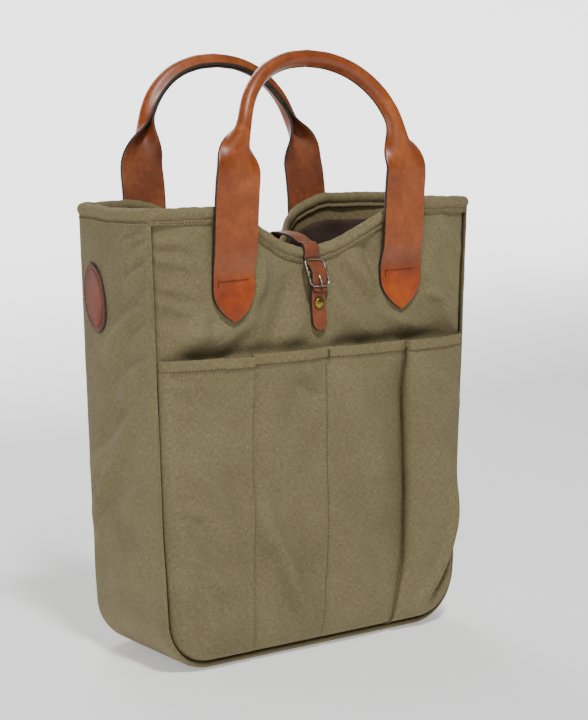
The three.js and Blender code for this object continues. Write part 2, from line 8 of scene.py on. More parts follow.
import bmesh
import bpy
import numpy as np
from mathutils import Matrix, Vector


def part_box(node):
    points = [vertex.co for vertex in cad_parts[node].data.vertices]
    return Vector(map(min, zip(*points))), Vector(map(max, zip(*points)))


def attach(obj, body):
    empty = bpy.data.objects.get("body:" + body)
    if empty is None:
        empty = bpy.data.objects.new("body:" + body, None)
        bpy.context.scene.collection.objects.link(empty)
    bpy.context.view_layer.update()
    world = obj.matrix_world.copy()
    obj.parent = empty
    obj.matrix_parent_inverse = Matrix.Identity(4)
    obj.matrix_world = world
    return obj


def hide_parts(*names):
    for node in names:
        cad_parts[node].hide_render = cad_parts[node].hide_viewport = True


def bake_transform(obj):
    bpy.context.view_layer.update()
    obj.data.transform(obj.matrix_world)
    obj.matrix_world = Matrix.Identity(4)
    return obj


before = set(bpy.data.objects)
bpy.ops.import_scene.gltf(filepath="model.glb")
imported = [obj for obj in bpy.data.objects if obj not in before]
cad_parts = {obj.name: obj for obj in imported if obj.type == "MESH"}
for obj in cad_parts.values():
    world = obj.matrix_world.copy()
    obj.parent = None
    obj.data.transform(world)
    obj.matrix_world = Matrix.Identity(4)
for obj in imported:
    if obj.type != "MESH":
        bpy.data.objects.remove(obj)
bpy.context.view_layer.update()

MM = 0.001


def box_mm(node):
    low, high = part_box(node)
    return np.array(low) / MM, np.array(high) / MM


# ------------------------------------------------------------------ driving sizes, in mm

RIM = box_mm("left_gusset")[1][2]
HALF_TOP = box_mm("front_panel")[1][0]
HALF_DEPTH = -box_mm("front_panel")[0][1]
SIDE_FLARE = 0.039
HALF_MIDDLE = HALF_TOP / (1 + SIDE_FLARE)
CORNER_RADIUS = 45.0
SCOOP_DEPTH = 38.0
SCOOP_HALF = 108.0
POCKET_TOP = box_mm("pocket_panel")[1][2]
STRAP_WIDTH = 42.5
STRAP_X = 87.0
SNAP_Z = 297.0
SEAM_INSET_TOP = 2.3
SEAM_INSET_LOW = 5.5
SEAM_RADIUS = CORNER_RADIUS - SEAM_INSET_LOW
CANVAS_THICKNESS = 1.5
POCKET_THICKNESS = 1.2
LINING_THICKNESS = 0.5
BEHIND = -1     # puts a sheet's thickness behind its faces
BEFORE = 1      # puts it in front of them


def smooth(value, low, high):
    t = np.clip((np.asarray(value, float) - low) / (high - low), 0, 1)
    return t * t * (3 - 2 * t)


def bell(distance, spread):
    return np.exp(-(np.asarray(distance, float) / spread) ** 2)


def half_width(z):
    return HALF_MIDDLE * (1 + SIDE_FLARE * (2 * np.asarray(z, float) / RIM - 1))


def rim_height(x):
    x = np.abs(np.asarray(x, float))
    scoop = SCOOP_DEPTH * (1 + np.cos(np.pi * np.minimum(x, SCOOP_HALF) / SCOOP_HALF)) / 2
    return RIM - scoop


def outline_distance(x, z):
    """How far a point of the front or back lies inside the bag's outline."""
    x = np.abs(np.asarray(x, float))
    z = np.asarray(z, float)
    side = half_width(np.maximum(z, CORNER_RADIUS)) - x
    corner = half_width(CORNER_RADIUS) - CORNER_RADIUS
    round_part = CORNER_RADIUS - np.hypot(np.maximum(x - corner, 0), CORNER_RADIUS - z)
    low = np.where(x > corner, np.minimum(side, round_part), z)
    return np.where(z < CORNER_RADIUS, low, side)


def bottom_height(x, inset):
    x = np.abs(np.asarray(x, float))
    corner = half_width(CORNER_RADIUS) - CORNER_RADIUS
    radius = CORNER_RADIUS - inset
    drop = np.sqrt(np.maximum(radius ** 2 - np.maximum(x - corner, 0) ** 2, 0))
    return CORNER_RADIUS - drop


def seam_inset(z):
    """The front and back seams sit a little inside the outline, more so low down."""
    return SEAM_INSET_TOP + (SEAM_INSET_LOW - SEAM_INSET_TOP) * (1 - smooth(z, 35, 130))


# ------------------------------------------------------------------ folds in the cloth

# A fold's row holds its start and end on the wall, its width, its height and its bow, in mm.
FOLD_STRENGTH = 2.3


def waves(x, z, seed, size, height):
    """Gentle unevenness made of a few crossed waves with seeded directions."""
    rng = np.random.default_rng(seed)
    total = np.zeros_like(np.asarray(x, float) + np.asarray(z, float))
    for _ in range(7):
        angle = rng.uniform(0, np.pi)
        length = size * rng.uniform(0.6, 1.7)
        phase = rng.uniform(0, 2 * np.pi)
        bend = 0.35 * np.sin((x * np.sin(angle) + z * np.cos(angle)) / (length * 0.9) + phase)
        total += np.sin(2 * np.pi * (x * np.cos(angle) + z * np.sin(angle)) / length + phase + bend)
    return height * total / 4


def fold(x, z, start, end, width, height, bow=0.0):
    """A soft ridge (or a valley, when height is negative) that fades out at both ends."""
    ax, az = start
    bx, bz = end
    length = math.hypot(bx - ax, bz - az)
    ux, uz = (bx - ax) / length, (bz - az) / length
    along = (x - ax) * ux + (z - az) * uz
    t = along / length
    across = -(x - ax) * uz + (z - az) * ux - bow * 4 * t * (1 - t) * ((t > 0) & (t < 1))
    fade = smooth(t, -0.12, 0.25) * (1 - smooth(t, 0.7, 1.12))
    profile = bell(across, width) - 0.45 * bell(across - 1.7 * width, width)
    return height * fade * profile


def folds(x, z, table):
    return FOLD_STRENGTH * sum(fold(x, z, *row) for row in table)


FRONT_FOLDS = [
    ((-166, 354), (-128, 352), 4.4, 0.9, 1.0),
    ((-165, 341), (-118, 331), 4.2, 1.3, 2.5),
    ((-164, 321), (-132, 313), 5.2, 0.9, 1.5),
    ((-163, 307), (-122, 293), 4.0, 1.3, 2.0),
    ((-163, 285), (-138, 281), 4.8, 0.7, 1.0),
    ((-50, 330), (-142, 268), 12, 4.6, 7.0),
    ((-66, 292), (-118, 258), 8, 2.8, 3.0),
    ((-20, 318), (-60, 256), 11, -2.6, 3.0),
    ((12, 316), (64, 258), 11, 3.0, -5.0),
    ((34, 342), (112, 262), 9, 3.2, -7.0),
    ((58, 352), (66, 280), 6, -2.0, 2.0),
    ((118, 330), (152, 262), 9, 2.6, -4.0),
    ((112, 300), (160, 282), 5, 1.4, 2.0),
    ((128, 366), (160, 330), 7, 1.6, -2.0),
]
POCKET_FOLDS = [
    ((-156, 240), (-130, 235), 3.8, 0.9, 1.0),
    ((-154, 222), (-132, 214), 4.0, 0.8, 1.0),
    ((-152, 141), (-120, 128), 4.6, 1.0, 2.0),
    ((-150, 132), (-96, 62), 10, 1.9, -6.0),
    ((-146, 178), (-92, 128), 9, 1.5, 5.0),
    ((-148, 84), (-104, 26), 8, 1.3, 3.0),
    ((-70, 150), (-14, 26), 13, 2.6, -6.0),
    ((-66, 104), (-34, 22), 8, -1.7, 2.0),
    ((-30, 236), (-6, 214), 6, -1.1, 1.0),
    ((-58, 232), (-30, 150), 14, 1.1, 4.0),
    ((20, 230), (66, 120), 16, 1.4, 6.0),
    ((18, 120), (64, 24), 14, 1.2, -5.0),
    ((104, 236), (150, 190), 9, 1.9, 5.0),
    ((152, 130), (104, 22), 7, 2.3, 9.0),
    ((150, 96), (116, 26), 4, -1.5, 6.0),
    ((112, 160), (146, 138), 9, 1.2, -3.0),
]
SIDE_FOLDS = [
    ((-44, 300), (16, 258), 8, 1.7, 5.0),
    ((-54, 334), (-16, 316), 5, 1.5, 3.0),
    ((-54, 352), (-22, 340), 4, 1.2, 2.0),
    ((-54, 284), (-24, 268), 5, 1.3, 2.0),
    ((-48, 254), (-4, 226), 8, 1.5, 3.0),
    ((-30, 214), (46, 158), 9, 2.0, -5.0),
    ((-6, 176), (52, 118), 6, 2.0, 4.0),
    ((10, 132), (50, 96), 4, 1.3, 2.0),
    ((-46, 160), (0, 120), 9, 1.1, 3.0),
    ((-40, 92), (30, 60), 10, 1.2, 4.0),
    ((-50, 362), (-16, 352), 3, 1.0, 1.0),
]
BACK_FOLDS = [
    ((-150, 300), (-60, 200), 14, 3.0, 8.0),
    ((150, 310), (70, 220), 13, 2.8, -8.0),
    ((-20, 320), (-70, 170), 13, -2.4, 5.0),
    ((24, 310), (64, 160), 13, -2.6, -5.0),
    ((-130, 140), (-50, 60), 14, 1.8, 6.0),
    ((120, 150), (30, 50), 16, 1.8, 8.0),
    ((-162, 340), (-120, 330), 4, 1.6, 2.0),
    ((162, 330), (118, 318), 4, 1.6, -2.0),
]


# ------------------------------------------------------------------ surfaces of the body

PINCH_TOP = 350.0
FRONT_PULL = 16
BACK_PULL = 38
BACK_BULGE = 16
MOUTH_GAPE = 4.5
POCKET_GAPE = 5.5


def front_base(x, z):
    """The front wall without folds, pulled in where the closure strap crosses the rim."""
    pull = bell(x, 55) * smooth(z, 255, PINCH_TOP)
    return -HALF_DEPTH + FRONT_PULL * pull


def back_base(x, z):
    """The back wall without folds, pulled in at the middle and pushed out beside it."""
    rise = smooth(z, 180, PINCH_TOP)
    shoulder = smooth(np.abs(x), 20, 70) * (1 - smooth(np.abs(x), 105, 160))
    return HALF_DEPTH + rise * (BACK_BULGE * shoulder - BACK_PULL * bell(x, 40))


def seam_roll(x, z, inset):
    """How far the cloth turns in where it runs into the seam round the edge."""
    d = np.maximum(outline_distance(x, z) - inset, 0)
    return 5.0 * np.exp(-(d / 2.4) ** 1.4) + 1.5 * np.exp(-(d / 12) ** 2)


def sewn_calm(x, z):
    """Zero where a strap is sewn down or the stud sits, one where the cloth is free."""
    under_strap = (1 - smooth(np.abs(np.abs(x) - STRAP_X), 20, 34)) * smooth(z, 270, 288)
    stud = bell(np.hypot(x, z - SNAP_Z), 14)
    return (1 - 0.94 * under_strap) * (1 - 0.9 * stud)


def wall_calm(x, z):
    """How freely a wall folds: less at the seams and the rim, and hardly where it is sewn."""
    rim = rim_height(x)
    calm = smooth(outline_distance(x, z), 0, 9) * (1 - 0.8 * smooth(z, rim - 22, rim - 6))
    return calm * sewn_calm(x, z)


def mouth_profile(x):
    """Where the pocket mouths gape: nothing at the centre seam and at both sides."""
    return smooth(np.abs(x - 4), 3, 24) * (1 - smooth(np.abs(x), 118, 150))


def front_y(x, z):
    """The front wall, which stands back a little behind the pocket mouths."""
    y = front_base(x, z) + seam_roll(x, z, seam_inset(z))
    y = y + MOUTH_GAPE * bell(z - POCKET_TOP, 8) * mouth_profile(x)
    calm = wall_calm(x, z) * (0.4 + 0.6 * smooth(z, POCKET_TOP + 2, POCKET_TOP + 26))
    uneven = folds(x, z, FRONT_FOLDS) + waves(x, z, 3, 70, 0.8) + waves(x, z, 4, 24, 0.16)
    return y - calm * uneven


def back_y(x, z):
    """The back wall, a little puffed out below."""
    y = back_base(x, z) - seam_roll(x, z, seam_inset(z))
    puff = 2.0 * smooth(outline_distance(x, z), 0, 60) * (1 - smooth(z, 200, 300))
    uneven = folds(x, z, BACK_FOLDS) + waves(x, z, 13, 80, 1.0) + waves(x, z, 14, 24, 0.16)
    return y + wall_calm(x, z) * uneven + puff


# ------------------------------------------------------------------ mesh making

def new_object(name, points, faces, materials, face_slots=None, uv=None):
    """A smooth mesh object from points in mm; uv is one (u, v) in metres for each point."""
    mesh = bpy.data.meshes.new(name)
    places = [tuple(p) for p in np.asarray(points, float) * MM]
    mesh.from_pydata(places, [], [tuple(f) for f in faces])
    for material in materials:
        mesh.materials.append(material)
    if face_slots is not None:
        mesh.polygons.foreach_set("material_index", np.asarray(face_slots, np.int32))
    if uv is not None:
        layer = mesh.uv_layers.new(name="UVMap")
        index = np.zeros(len(mesh.loops), np.int32)
        mesh.loops.foreach_get("vertex_index", index)
        layer.data.foreach_set("uv", np.asarray(uv, np.float32)[index].ravel())
    mesh.polygons.foreach_set("use_smooth", np.ones(len(mesh.polygons), bool))
    mesh.validate()
    obj = bpy.data.objects.new(name, mesh)
    bpy.context.scene.collection.objects.link(obj)
    return obj


def grid_faces(rows, columns, close_columns=False, flip=False):
    """Quads over a grid of points; unflipped, they face column direction x row direction."""
    faces = []
    last = columns if close_columns else columns - 1
    for r in range(rows - 1):
        for k in range(last):
            a = r * columns + k
            b = r * columns + (k + 1) % columns
            quad = (a, b, b + columns, a + columns)
            faces.append(quad[::-1] if flip else quad)
    return faces


def end_caps(rows, ring):
    """The first and the last ring of an open tube, each closed by one face."""
    last = (rows - 1) * ring
    return [tuple(range(ring)), tuple(range(last, last + ring))[::-1]]


def path_length(points):
    """Distance of each point from the first, measured along the path."""
    steps = np.linalg.norm(np.diff(points, axis=0), axis=1)
    return np.concatenate([[0], np.cumsum(steps)])


def unit(vectors):
    return vectors / np.linalg.norm(vectors, axis=1)[:, None]


def closing_faces(rows, ring):
    """Quads that join the last ring of a closed tube back to its first."""
    last = (rows - 1) * ring
    return [(last + k, last + (k + 1) % ring, (k + 1) % ring, k) for k in range(ring)]


def arc_uv(grid):
    """UV in metres measured along a grid of points, shaped (rows, columns, 3)."""
    rows, columns = grid.shape[:2]
    across = np.linalg.norm(np.diff(grid, axis=1), axis=2)
    along = np.linalg.norm(np.diff(grid, axis=0), axis=2)
    u = np.concatenate([np.zeros((rows, 1)), np.cumsum(across, axis=1)], axis=1)
    u = u - u[:, columns // 2:columns // 2 + 1]
    v = np.concatenate([np.zeros((1, columns)), np.cumsum(along, axis=0)], axis=0)
    return np.stack([u, v], axis=2).reshape(-1, 2) * MM


def sheet_object(name, grid, material, thickness, offset, flip=False):
    """A cloth sheet on a grid of points, with its thickness behind or before its faces."""
    rows, columns = grid.shape[:2]
    faces = grid_faces(rows, columns, flip=flip)
    obj = new_object(name, grid.reshape(-1, 3), faces, [material], uv=arc_uv(grid))
    solid = obj.modifiers.new("thickness", "SOLIDIFY")
    solid.thickness = thickness * MM
    solid.offset = offset
    return obj


def join(name, objects):
    """One object out of several, which keeps every material."""
    bpy.ops.object.select_all(action="DESELECT")
    for obj in objects:
        obj.select_set(True)
    bpy.context.view_layer.objects.active = objects[0]
    bpy.ops.object.join()
    objects[0].name = name
    objects[0].data.name = name
    return objects[0]


# ------------------------------------------------------------------ materials

class Nodes:
    """Small helper that adds nodes to a material and links them."""

    def __init__(self, name):
        self.material = bpy.data.materials.new(name)
        self.material.use_nodes = True
        self.tree = self.material.node_tree
        self.shader = self.tree.nodes["Principled BSDF"]

    def add(self, kind, **settings):
        node = self.tree.nodes.new(kind)
        for key, value in settings.items():
            setattr(node, key, value)
        return node

    def coordinates(self, kind):
        return self.add("ShaderNodeTexCoord").outputs[kind]

    def link(self, source, target):
        self.tree.links.new(source, target)

    def feed(self, socket, source):
        self.link(source, self.shader.inputs[socket])

    def set(self, **values):
        for key, value in values.items():
            self.shader.inputs[key.replace("_", " ")].default_value = value

    def scaled(self, coordinates, scale):
        mapping = self.add("ShaderNodeMapping")
        mapping.inputs["Scale"].default_value = scale
        self.link(coordinates, mapping.inputs["Vector"])
        return mapping.outputs["Vector"]

    def noise(self, vector, scale, detail=3.0, roughness=0.55, distortion=0.0):
        node = self.add("ShaderNodeTexNoise")
        node.inputs["Scale"].default_value = scale
        node.inputs["Detail"].default_value = detail
        node.inputs["Roughness"].default_value = roughness
        node.inputs["Distortion"].default_value = distortion
        self.link(vector, node.inputs["Vector"])
        return node.outputs["Fac"]

    def ramp(self, value, stops):
        node = self.add("ShaderNodeValToRGB")
        ramp = node.color_ramp
        while len(ramp.elements) < len(stops):
            ramp.elements.new(0.5)
        for element, (place, color) in zip(ramp.elements, stops):
            element.position = place
            element.color = (*color, 1)
        self.link(value, node.inputs["Fac"])
        return node.outputs["Color"]

    def math(self, operation, a, b):
        node = self.add("ShaderNodeMath", operation=operation)
        for value, socket in ((a, node.inputs[0]), (b, node.inputs[1])):
            if isinstance(value, bpy.types.NodeSocket):
                self.link(value, socket)
            else:
                socket.default_value = value
        return node.outputs[0]

    def map(self, value, low, high, new_low, new_high):
        node = self.add("ShaderNodeMapRange")
        for socket, number in zip(list(node.inputs)[1:5], (low, high, new_low, new_high)):
            socket.default_value = number
        self.link(value, node.inputs[0])
        return node.outputs[0]

    def bump(self, height, strength, distance, normal=None):
        node = self.add("ShaderNodeBump")
        node.inputs["Strength"].default_value = strength
        node.inputs["Distance"].default_value = distance
        self.link(height, node.inputs["Height"])
        if normal is not None:
            self.link(normal, node.inputs["Normal"])
        return node.outputs["Normal"]


def srgb(red, green, blue):
    """Linear colour from 0-255 display values."""
    shares = [c / 255 for c in (red, green, blue)]
    return tuple(((c + 0.055) / 1.055) ** 2.4 if c > 0.04 else c / 12.92 for c in shares)


def canvas_material(name, light, middle, dark):
    """Waxed cotton canvas: a fine plain weave of uneven, heathered threads."""
    n = Nodes(name)
    uv = n.coordinates("UV")
    place = n.coordinates("Object")
    warp = n.noise(n.scaled(uv, (1500, 260, 1)), 1.0, 2.0)
    weft = n.noise(n.scaled(uv, (260, 1500, 1)), 1.0, 2.0)
    threads = n.math("ADD", warp, weft)
    cloud = n.noise(place, 14, 4.0, 0.6)
    patches = n.noise(place, 70, 3.0, 0.6)
    tone = n.math("ADD", n.math("MULTIPLY", threads, 0.62), n.math("MULTIPLY", cloud, 0.30))
    tone = n.math("ADD", tone, n.math("MULTIPLY", patches, 0.10))
    color = n.ramp(n.map(tone, 0.52, 1.12, 0, 1), [(0.0, dark), (0.5, middle), (1.0, light)])
    n.feed("Base Color", color)
    rough = n.map(cloud, 0.3, 0.7, 0.78, 0.92)
    n.feed("Roughness", rough)
    across = n.add("ShaderNodeTexWave", wave_type="BANDS", bands_direction="X")
    along = n.add("ShaderNodeTexWave", wave_type="BANDS", bands_direction="Y")
    for wave in (across, along):
        wave.inputs["Scale"].default_value = 1.0
        wave.inputs["Distortion"].default_value = 0.6
        n.link(n.scaled(uv, (480, 480, 1)), wave.inputs["Vector"])
    cloth = n.math("MULTIPLY", across.outputs["Fac"], along.outputs["Fac"])
    height = n.math("ADD", n.math("MULTIPLY", cloth, 0.5), threads)
    fine = n.bump(height, 0.55, 0.00035)
    soft = n.bump(n.noise(place, 60, 3.0, 0.5), 0.35, 0.0012, fine)
    n.feed("Normal", soft)
    n.set(Specular_IOR_Level=0.22, Sheen_Weight=0.10, Sheen_Roughness=0.5)
    n.shader.inputs["Sheen Tint"].default_value = (*srgb(190, 180, 150), 1)
    return n.material


def leather_material(name, light, middle, dark, gloss=0.4, coat=0.12, specular=0.45):
    """Smooth tanned hide: cloudy colour, fine grain and a satin finish."""
    n = Nodes(name)
    place = n.coordinates("Object")
    cloud = n.noise(place, 22, 4.0, 0.6, 0.4)
    mottle = n.noise(place, 190, 3.0, 0.6)
    tone = n.math("ADD", n.math("MULTIPLY", cloud, 0.75), n.math("MULTIPLY", mottle, 0.25))
    color = n.ramp(n.map(tone, 0.32, 0.68, 0, 1), [(0.0, dark), (0.5, middle), (1.0, light)])
    n.feed("Base Color", color)
    n.feed("Roughness", n.map(mottle, 0.3, 0.7, gloss - 0.05, gloss + 0.1))
    cells = n.add("ShaderNodeTexVoronoi", feature="DISTANCE_TO_EDGE")
    cells.inputs["Scale"].default_value = 1300
    n.link(place, cells.inputs["Vector"])
    grain = n.map(cells.outputs["Distance"], 0.0, 0.25, 0.0, 1.0)
    fine = n.bump(grain, 0.16, 0.00012)
    soft = n.bump(n.noise(place, 260, 4.0, 0.6), 0.22, 0.0005, fine)
    n.feed("Normal", soft)
    n.set(Specular_IOR_Level=specular, Coat_Weight=coat, Coat_Roughness=0.3)
    return n.material


def plain_material(name, light, dark, roughness, scale, bump):
    """Two close tones of one colour with a little grain, for edges, thread and board."""
    n = Nodes(name)
    place = n.coordinates("Object")
    grain = n.noise(place, scale, 4.0, 0.6)
    n.feed("Base Color", n.ramp(n.map(grain, 0.35, 0.65, 0, 1), [(0.0, dark), (1.0, light)]))
    n.feed("Roughness", n.map(grain, 0.3, 0.7, roughness - 0.06, roughness + 0.06))
    n.feed("Normal", n.bump(grain, 0.4, bump))
    n.set(Specular_IOR_Level=0.3)
    return n.material


def metal_material(name, light, dark, roughness):
    """Plated metal with fine handling marks."""
    n = Nodes(name)
    place = n.coordinates("Object")
    wear = n.noise(place, 420, 4.0, 0.65)
    n.feed("Base Color", n.ramp(n.map(wear, 0.35, 0.65, 0, 1), [(0.0, dark), (1.0, light)]))
    n.feed("Roughness", n.map(wear, 0.3, 0.7, roughness - 0.08, roughness + 0.12))
    n.feed("Normal", n.bump(n.noise(place, 1500, 2.0), 0.12, 0.0001))
    n.set(Metallic=1.0)
    return n.material


def lining_material(name):
    """Dark brown cotton twill."""
    n = Nodes(name)
    uv = n.coordinates("UV")
    place = n.coordinates("Object")
    twill = n.add("ShaderNodeTexWave", wave_type="BANDS", bands_direction="DIAGONAL")
    twill.inputs["Scale"].default_value = 1.0
    twill.inputs["Distortion"].default_value = 1.0
    n.link(n.scaled(uv, (330, 330, 1)), twill.inputs["Vector"])
    cloud = n.noise(place, 40, 4.0, 0.6)
    tone = n.math("ADD", n.math("MULTIPLY", cloud, 0.8), n.math("MULTIPLY", twill.outputs["Fac"], 0.2))
    color = n.ramp(n.map(tone, 0.3, 0.8, 0, 1), [(0.0, srgb(44, 33, 27)), (1.0, srgb(84, 66, 54))])
    n.feed("Base Color", color)
    n.feed("Normal", n.bump(twill.outputs["Fac"], 0.4, 0.0003))
    n.set(Roughness=0.85, Specular_IOR_Level=0.2, Sheen_Weight=0.1)
    return n.material


CANVAS = canvas_material("waxed_canvas", srgb(146, 135, 102), srgb(117, 107, 77), srgb(83, 74, 49))
TRIM = canvas_material("canvas_trim", srgb(146, 134, 101), srgb(117, 106, 75), srgb(84, 75, 50))
LINING = lining_material("lining_twill")
LEATHER = leather_material("tan_leather", srgb(166, 88, 36), srgb(137, 66, 22), srgb(106, 46, 12))
# The sewn strap ends get a more orange copy of the strap leather: painted light for the different way
# light falls on them.
TAB_LEATHER_LIT = leather_material("tab_leather_painted_light", srgb(176, 80, 4), srgb(150, 60, 2), srgb(114, 42, 1))
# The closure strap gets a much lighter copy of the tan leather: painted top light on a strap that would
# otherwise lie in shade.
CLOSURE_LEATHER_LIT = leather_material("closure_leather_painted_light", srgb(222, 142, 86), srgb(200, 118, 64),
                                   srgb(166, 92, 46))
PATCH_LEATHER = leather_material("patch_leather", srgb(124, 58, 26), srgb(98, 42, 17), srgb(74, 30, 11),
                                 gloss=0.55, coat=0.0, specular=0.25)
EDGE = plain_material("dyed_edge", srgb(70, 54, 44), srgb(38, 28, 22), 0.5, 900, 0.0003)
FLESH = leather_material("leather_flesh", srgb(150, 84, 46), srgb(122, 62, 30), srgb(92, 44, 18), 0.6)
THREAD = plain_material("tan_thread", srgb(168, 100, 56), srgb(132, 72, 36), 0.7, 1600, 0.0002)
DARK_THREAD = plain_material("dark_thread", srgb(66, 44, 30), srgb(36, 24, 16), 0.7, 1600, 0.0002)
CANVAS_THREAD = plain_material("canvas_thread", srgb(96, 86, 60), srgb(64, 56, 38), 0.8, 1600, 0.0002)
CORD = plain_material("cotton_cord", srgb(216, 205, 184), srgb(180, 168, 146), 0.9, 700, 0.0005)
BOARD = plain_material("fibre_board", srgb(146, 122, 94), srgb(116, 94, 68), 0.85, 240, 0.0003)
NICKEL = metal_material("nickel", srgb(176, 166, 154), srgb(118, 108, 98), 0.3)
BRASS = metal_material("aged_brass", srgb(168, 148, 74), srgb(104, 88, 36), 0.34)


# ------------------------------------------------------------------ body pieces

CORNER_X = float(half_width(CORNER_RADIUS)) - CORNER_RADIUS
EDGE_TURN = 8.0
FACING_DROP = 25.0
LINING_INSET = 3.4
SIDE_LINING_INSET = 4.4
SIDE_BAND_INSET = 3.2
SIDE_LINING_HALF = HALF_DEPTH - 5
LINING_FLOOR = 6.2


def wall_grid(surface, top_drop=1.0, depth=0.0, inset=0.0, low=None, columns=180, rows=200):
    """Points of the front or back wall, from its bottom seam (or low) up to just under the rim."""
    u = np.linspace(-1, 1, columns)[None, :]
    t = np.linspace(0, 1, rows)[:, None]
    edge = SEAM_INSET_LOW + inset
    x_low = u * (half_width(CORNER_RADIUS) - edge)
    bottom = bottom_height(x_low, edge) if low is None else low(u * (HALF_TOP - inset))
    top = rim_height(u * (HALF_TOP - inset)) - top_drop
    z = bottom + (top - bottom) * t
    side = np.where(z < CORNER_RADIUS, edge, seam_inset(z) + inset)
    x = u * (half_width(np.maximum(z, CORNER_RADIUS)) - side)
    return np.stack([x, surface(x, z) + depth, z], axis=2)


def outline_path(inset, top):
    """Points and outward directions down the left side, across the base and up the right."""
    radius = CORNER_RADIUS - inset
    points, normals = [], []
    for z in np.linspace(top, CORNER_RADIUS, 110, endpoint=False):
        points.append((-(half_width(z) - inset), z))
        normals.append((-1.0, 0.0))
    for angle in np.linspace(0, math.pi / 2, 24):
        points.append((-CORNER_X - radius * math.cos(angle), CORNER_RADIUS - radius * math.sin(angle)))
        normals.append((-math.cos(angle), -math.sin(angle)))
    for x in np.linspace(-CORNER_X, 0, 24)[1:]:
        points.append((x, inset))
        normals.append((0.0, -1.0))
    mirrored = [(-x, z) for x, z in points[-2::-1]]
    turned = [(-nx, nz) for nx, nz in normals[-2::-1]]
    return np.array(points + mirrored), np.array(normals + turned)


def side_offset(x0, y, z):
    """How far the side cloth stands out from the flat side at one place."""
    puff = 3.0 * (1 - (y / HALF_DEPTH) ** 2) * (1 - smooth(z, 230, 340)) * smooth(z, 10, 90)
    shape = np.where(x0 < 0, folds(y, z, SIDE_FOLDS), folds(-y, z, SIDE_FOLDS))
    rough = waves(y + 3 * x0, z, 21, 60, 0.8) + waves(y, z + x0, 22, 22, 0.15)
    calm = smooth(z, 4, 60) * (1 - 0.8 * smooth(z, RIM - 24, RIM - 8))
    return calm * (puff + shape + rough)


def gusset_grid():
    """The long strip that makes both sides and the base, with its edges turned to the seams."""
    points, normals = outline_path(0.0, RIM - 1)
    depth = 2 * HALF_DEPTH
    s = np.concatenate([np.linspace(0, EDGE_TURN, 12, endpoint=False),
                        np.linspace(EDGE_TURN, depth - EDGE_TURN, 56),
                        np.linspace(depth - EDGE_TURN, depth, 13)[1:]])
    near = np.minimum(s, depth - s)
    turn = np.clip(1 - near / EDGE_TURN, 0, 1)
    swing = np.sin(np.minimum(turn / 0.85, 1) * np.pi / 2)
    reach = HALF_DEPTH - EDGE_TURN + (EDGE_TURN - 0.8) * swing
    reach = reach - 4.2 * (np.clip(turn - 0.85, 0, 1) / 0.15) ** 2
    y = np.where(turn > 0, np.sign(s - HALF_DEPTH) * reach, s - HALF_DEPTH)[None, :]
    x0, z0 = points[:, 0][:, None], points[:, 1][:, None]
    nx, nz = normals[:, 0][:, None], normals[:, 1][:, None]
    offset = -seam_inset(z0) * turn[None, :] ** 2
    offset = offset + side_offset(x0, y, z0) * (1 - turn[None, :] ** 2)
    return np.stack([x0 + nx * offset, y + 0 * x0, z0 + nz * offset], axis=2)


def lining_strip(top):
    """Lining of both sides and the base, which lies on the stiffening board."""
    points, _ = outline_path(SIDE_LINING_INSET, top)
    y = np.linspace(-SIDE_LINING_HALF, SIDE_LINING_HALF, 30)[None, :]
    x0, z0 = points[:, 0][:, None], points[:, 1][:, None]
    floor = np.maximum(z0, LINING_FLOOR)
    return np.stack([x0 + 0 * y, y + 0 * x0, floor + 0 * y], axis=2)


def make_walls():
    """The canvas shell: front, back, and one strip for both sides and the base."""
    front = sheet_object("front_canvas", wall_grid(front_y), CANVAS, CANVAS_THICKNESS, BEHIND)
    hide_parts("front_panel")
    back = sheet_object("back_canvas", wall_grid(back_y), CANVAS, CANVAS_THICKNESS, BEHIND, flip=True)
    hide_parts("back_panel")
    gusset = sheet_object("gusset_canvas", gusset_grid(), CANVAS, CANVAS_THICKNESS, BEHIND)
    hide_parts("left_gusset", "right_gusset", "base_gusset")
    for piece in (front, back, gusset):
        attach(piece, "root")


def facing_bottom(x):
    return rim_height(x) - FACING_DROP


def make_lining():
    """Brown lining on every inner face, with the canvas facing band above it."""
    for side, surface, sign in (("front", front_y, 1), ("back", back_y, -1)):
        inner = wall_grid(surface, FACING_DROP - 1, sign * 3.6, LINING_INSET, columns=90, rows=80)
        cloth = sheet_object(f"{side}_lining_cloth", inner, LINING, LINING_THICKNESS, BEHIND,
                             flip=sign > 0)
        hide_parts(f"{side}_lining")
        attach(cloth, "root")
        upper = wall_grid(surface, 2, sign * 2.8, LINING_INSET, facing_bottom, 110, 12)
        band = sheet_object(f"{side}_facing_band", upper, TRIM, LINING_THICKNESS, BEHIND,
                            flip=sign > 0)
        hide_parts(f"{side}_facing")
        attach(band, "root")
    strip = sheet_object("side_lining_cloth", lining_strip(RIM - FACING_DROP), LINING,
                         LINING_THICKNESS, BEFORE)
    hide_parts("left_lining", "right_lining", "base_lining")
    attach(strip, "root")
    make_side_facing()


def make_side_facing():
    """The canvas band inside the rim of both sides."""
    z = np.linspace(RIM - FACING_DROP, RIM - 2, 6)[:, None]
    y = np.linspace(-SIDE_LINING_HALF, SIDE_LINING_HALF, 24)[None, :]
    bands = []
    for sign in (-1, 1):
        x = sign * (half_width(z) - SIDE_BAND_INSET) + 0 * y
        grid = np.stack([x, y + 0 * z, z + 0 * y], axis=2)
        bands.append(sheet_object(f"side_band_{sign}", grid, TRIM, LINING_THICKNESS, BEHIND,
                                  flip=sign < 0))
    band = join("side_facing_band", bands)
    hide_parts("left_facing", "right_facing")
    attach(band, "root")


# ------------------------------------------------------------------ stitches

STITCH_SIDES = 6
# Place along the stitch, share of its radius, and lift off the cloth in radii.
STITCH_RINGS = [(0.0, 0.45, -0.5), (0.25, 1.0, 0.35), (0.75, 1.0, 0.35), (1.0, 0.45, -0.5)]
FRONT = (0.0, -1.0, 0.0)


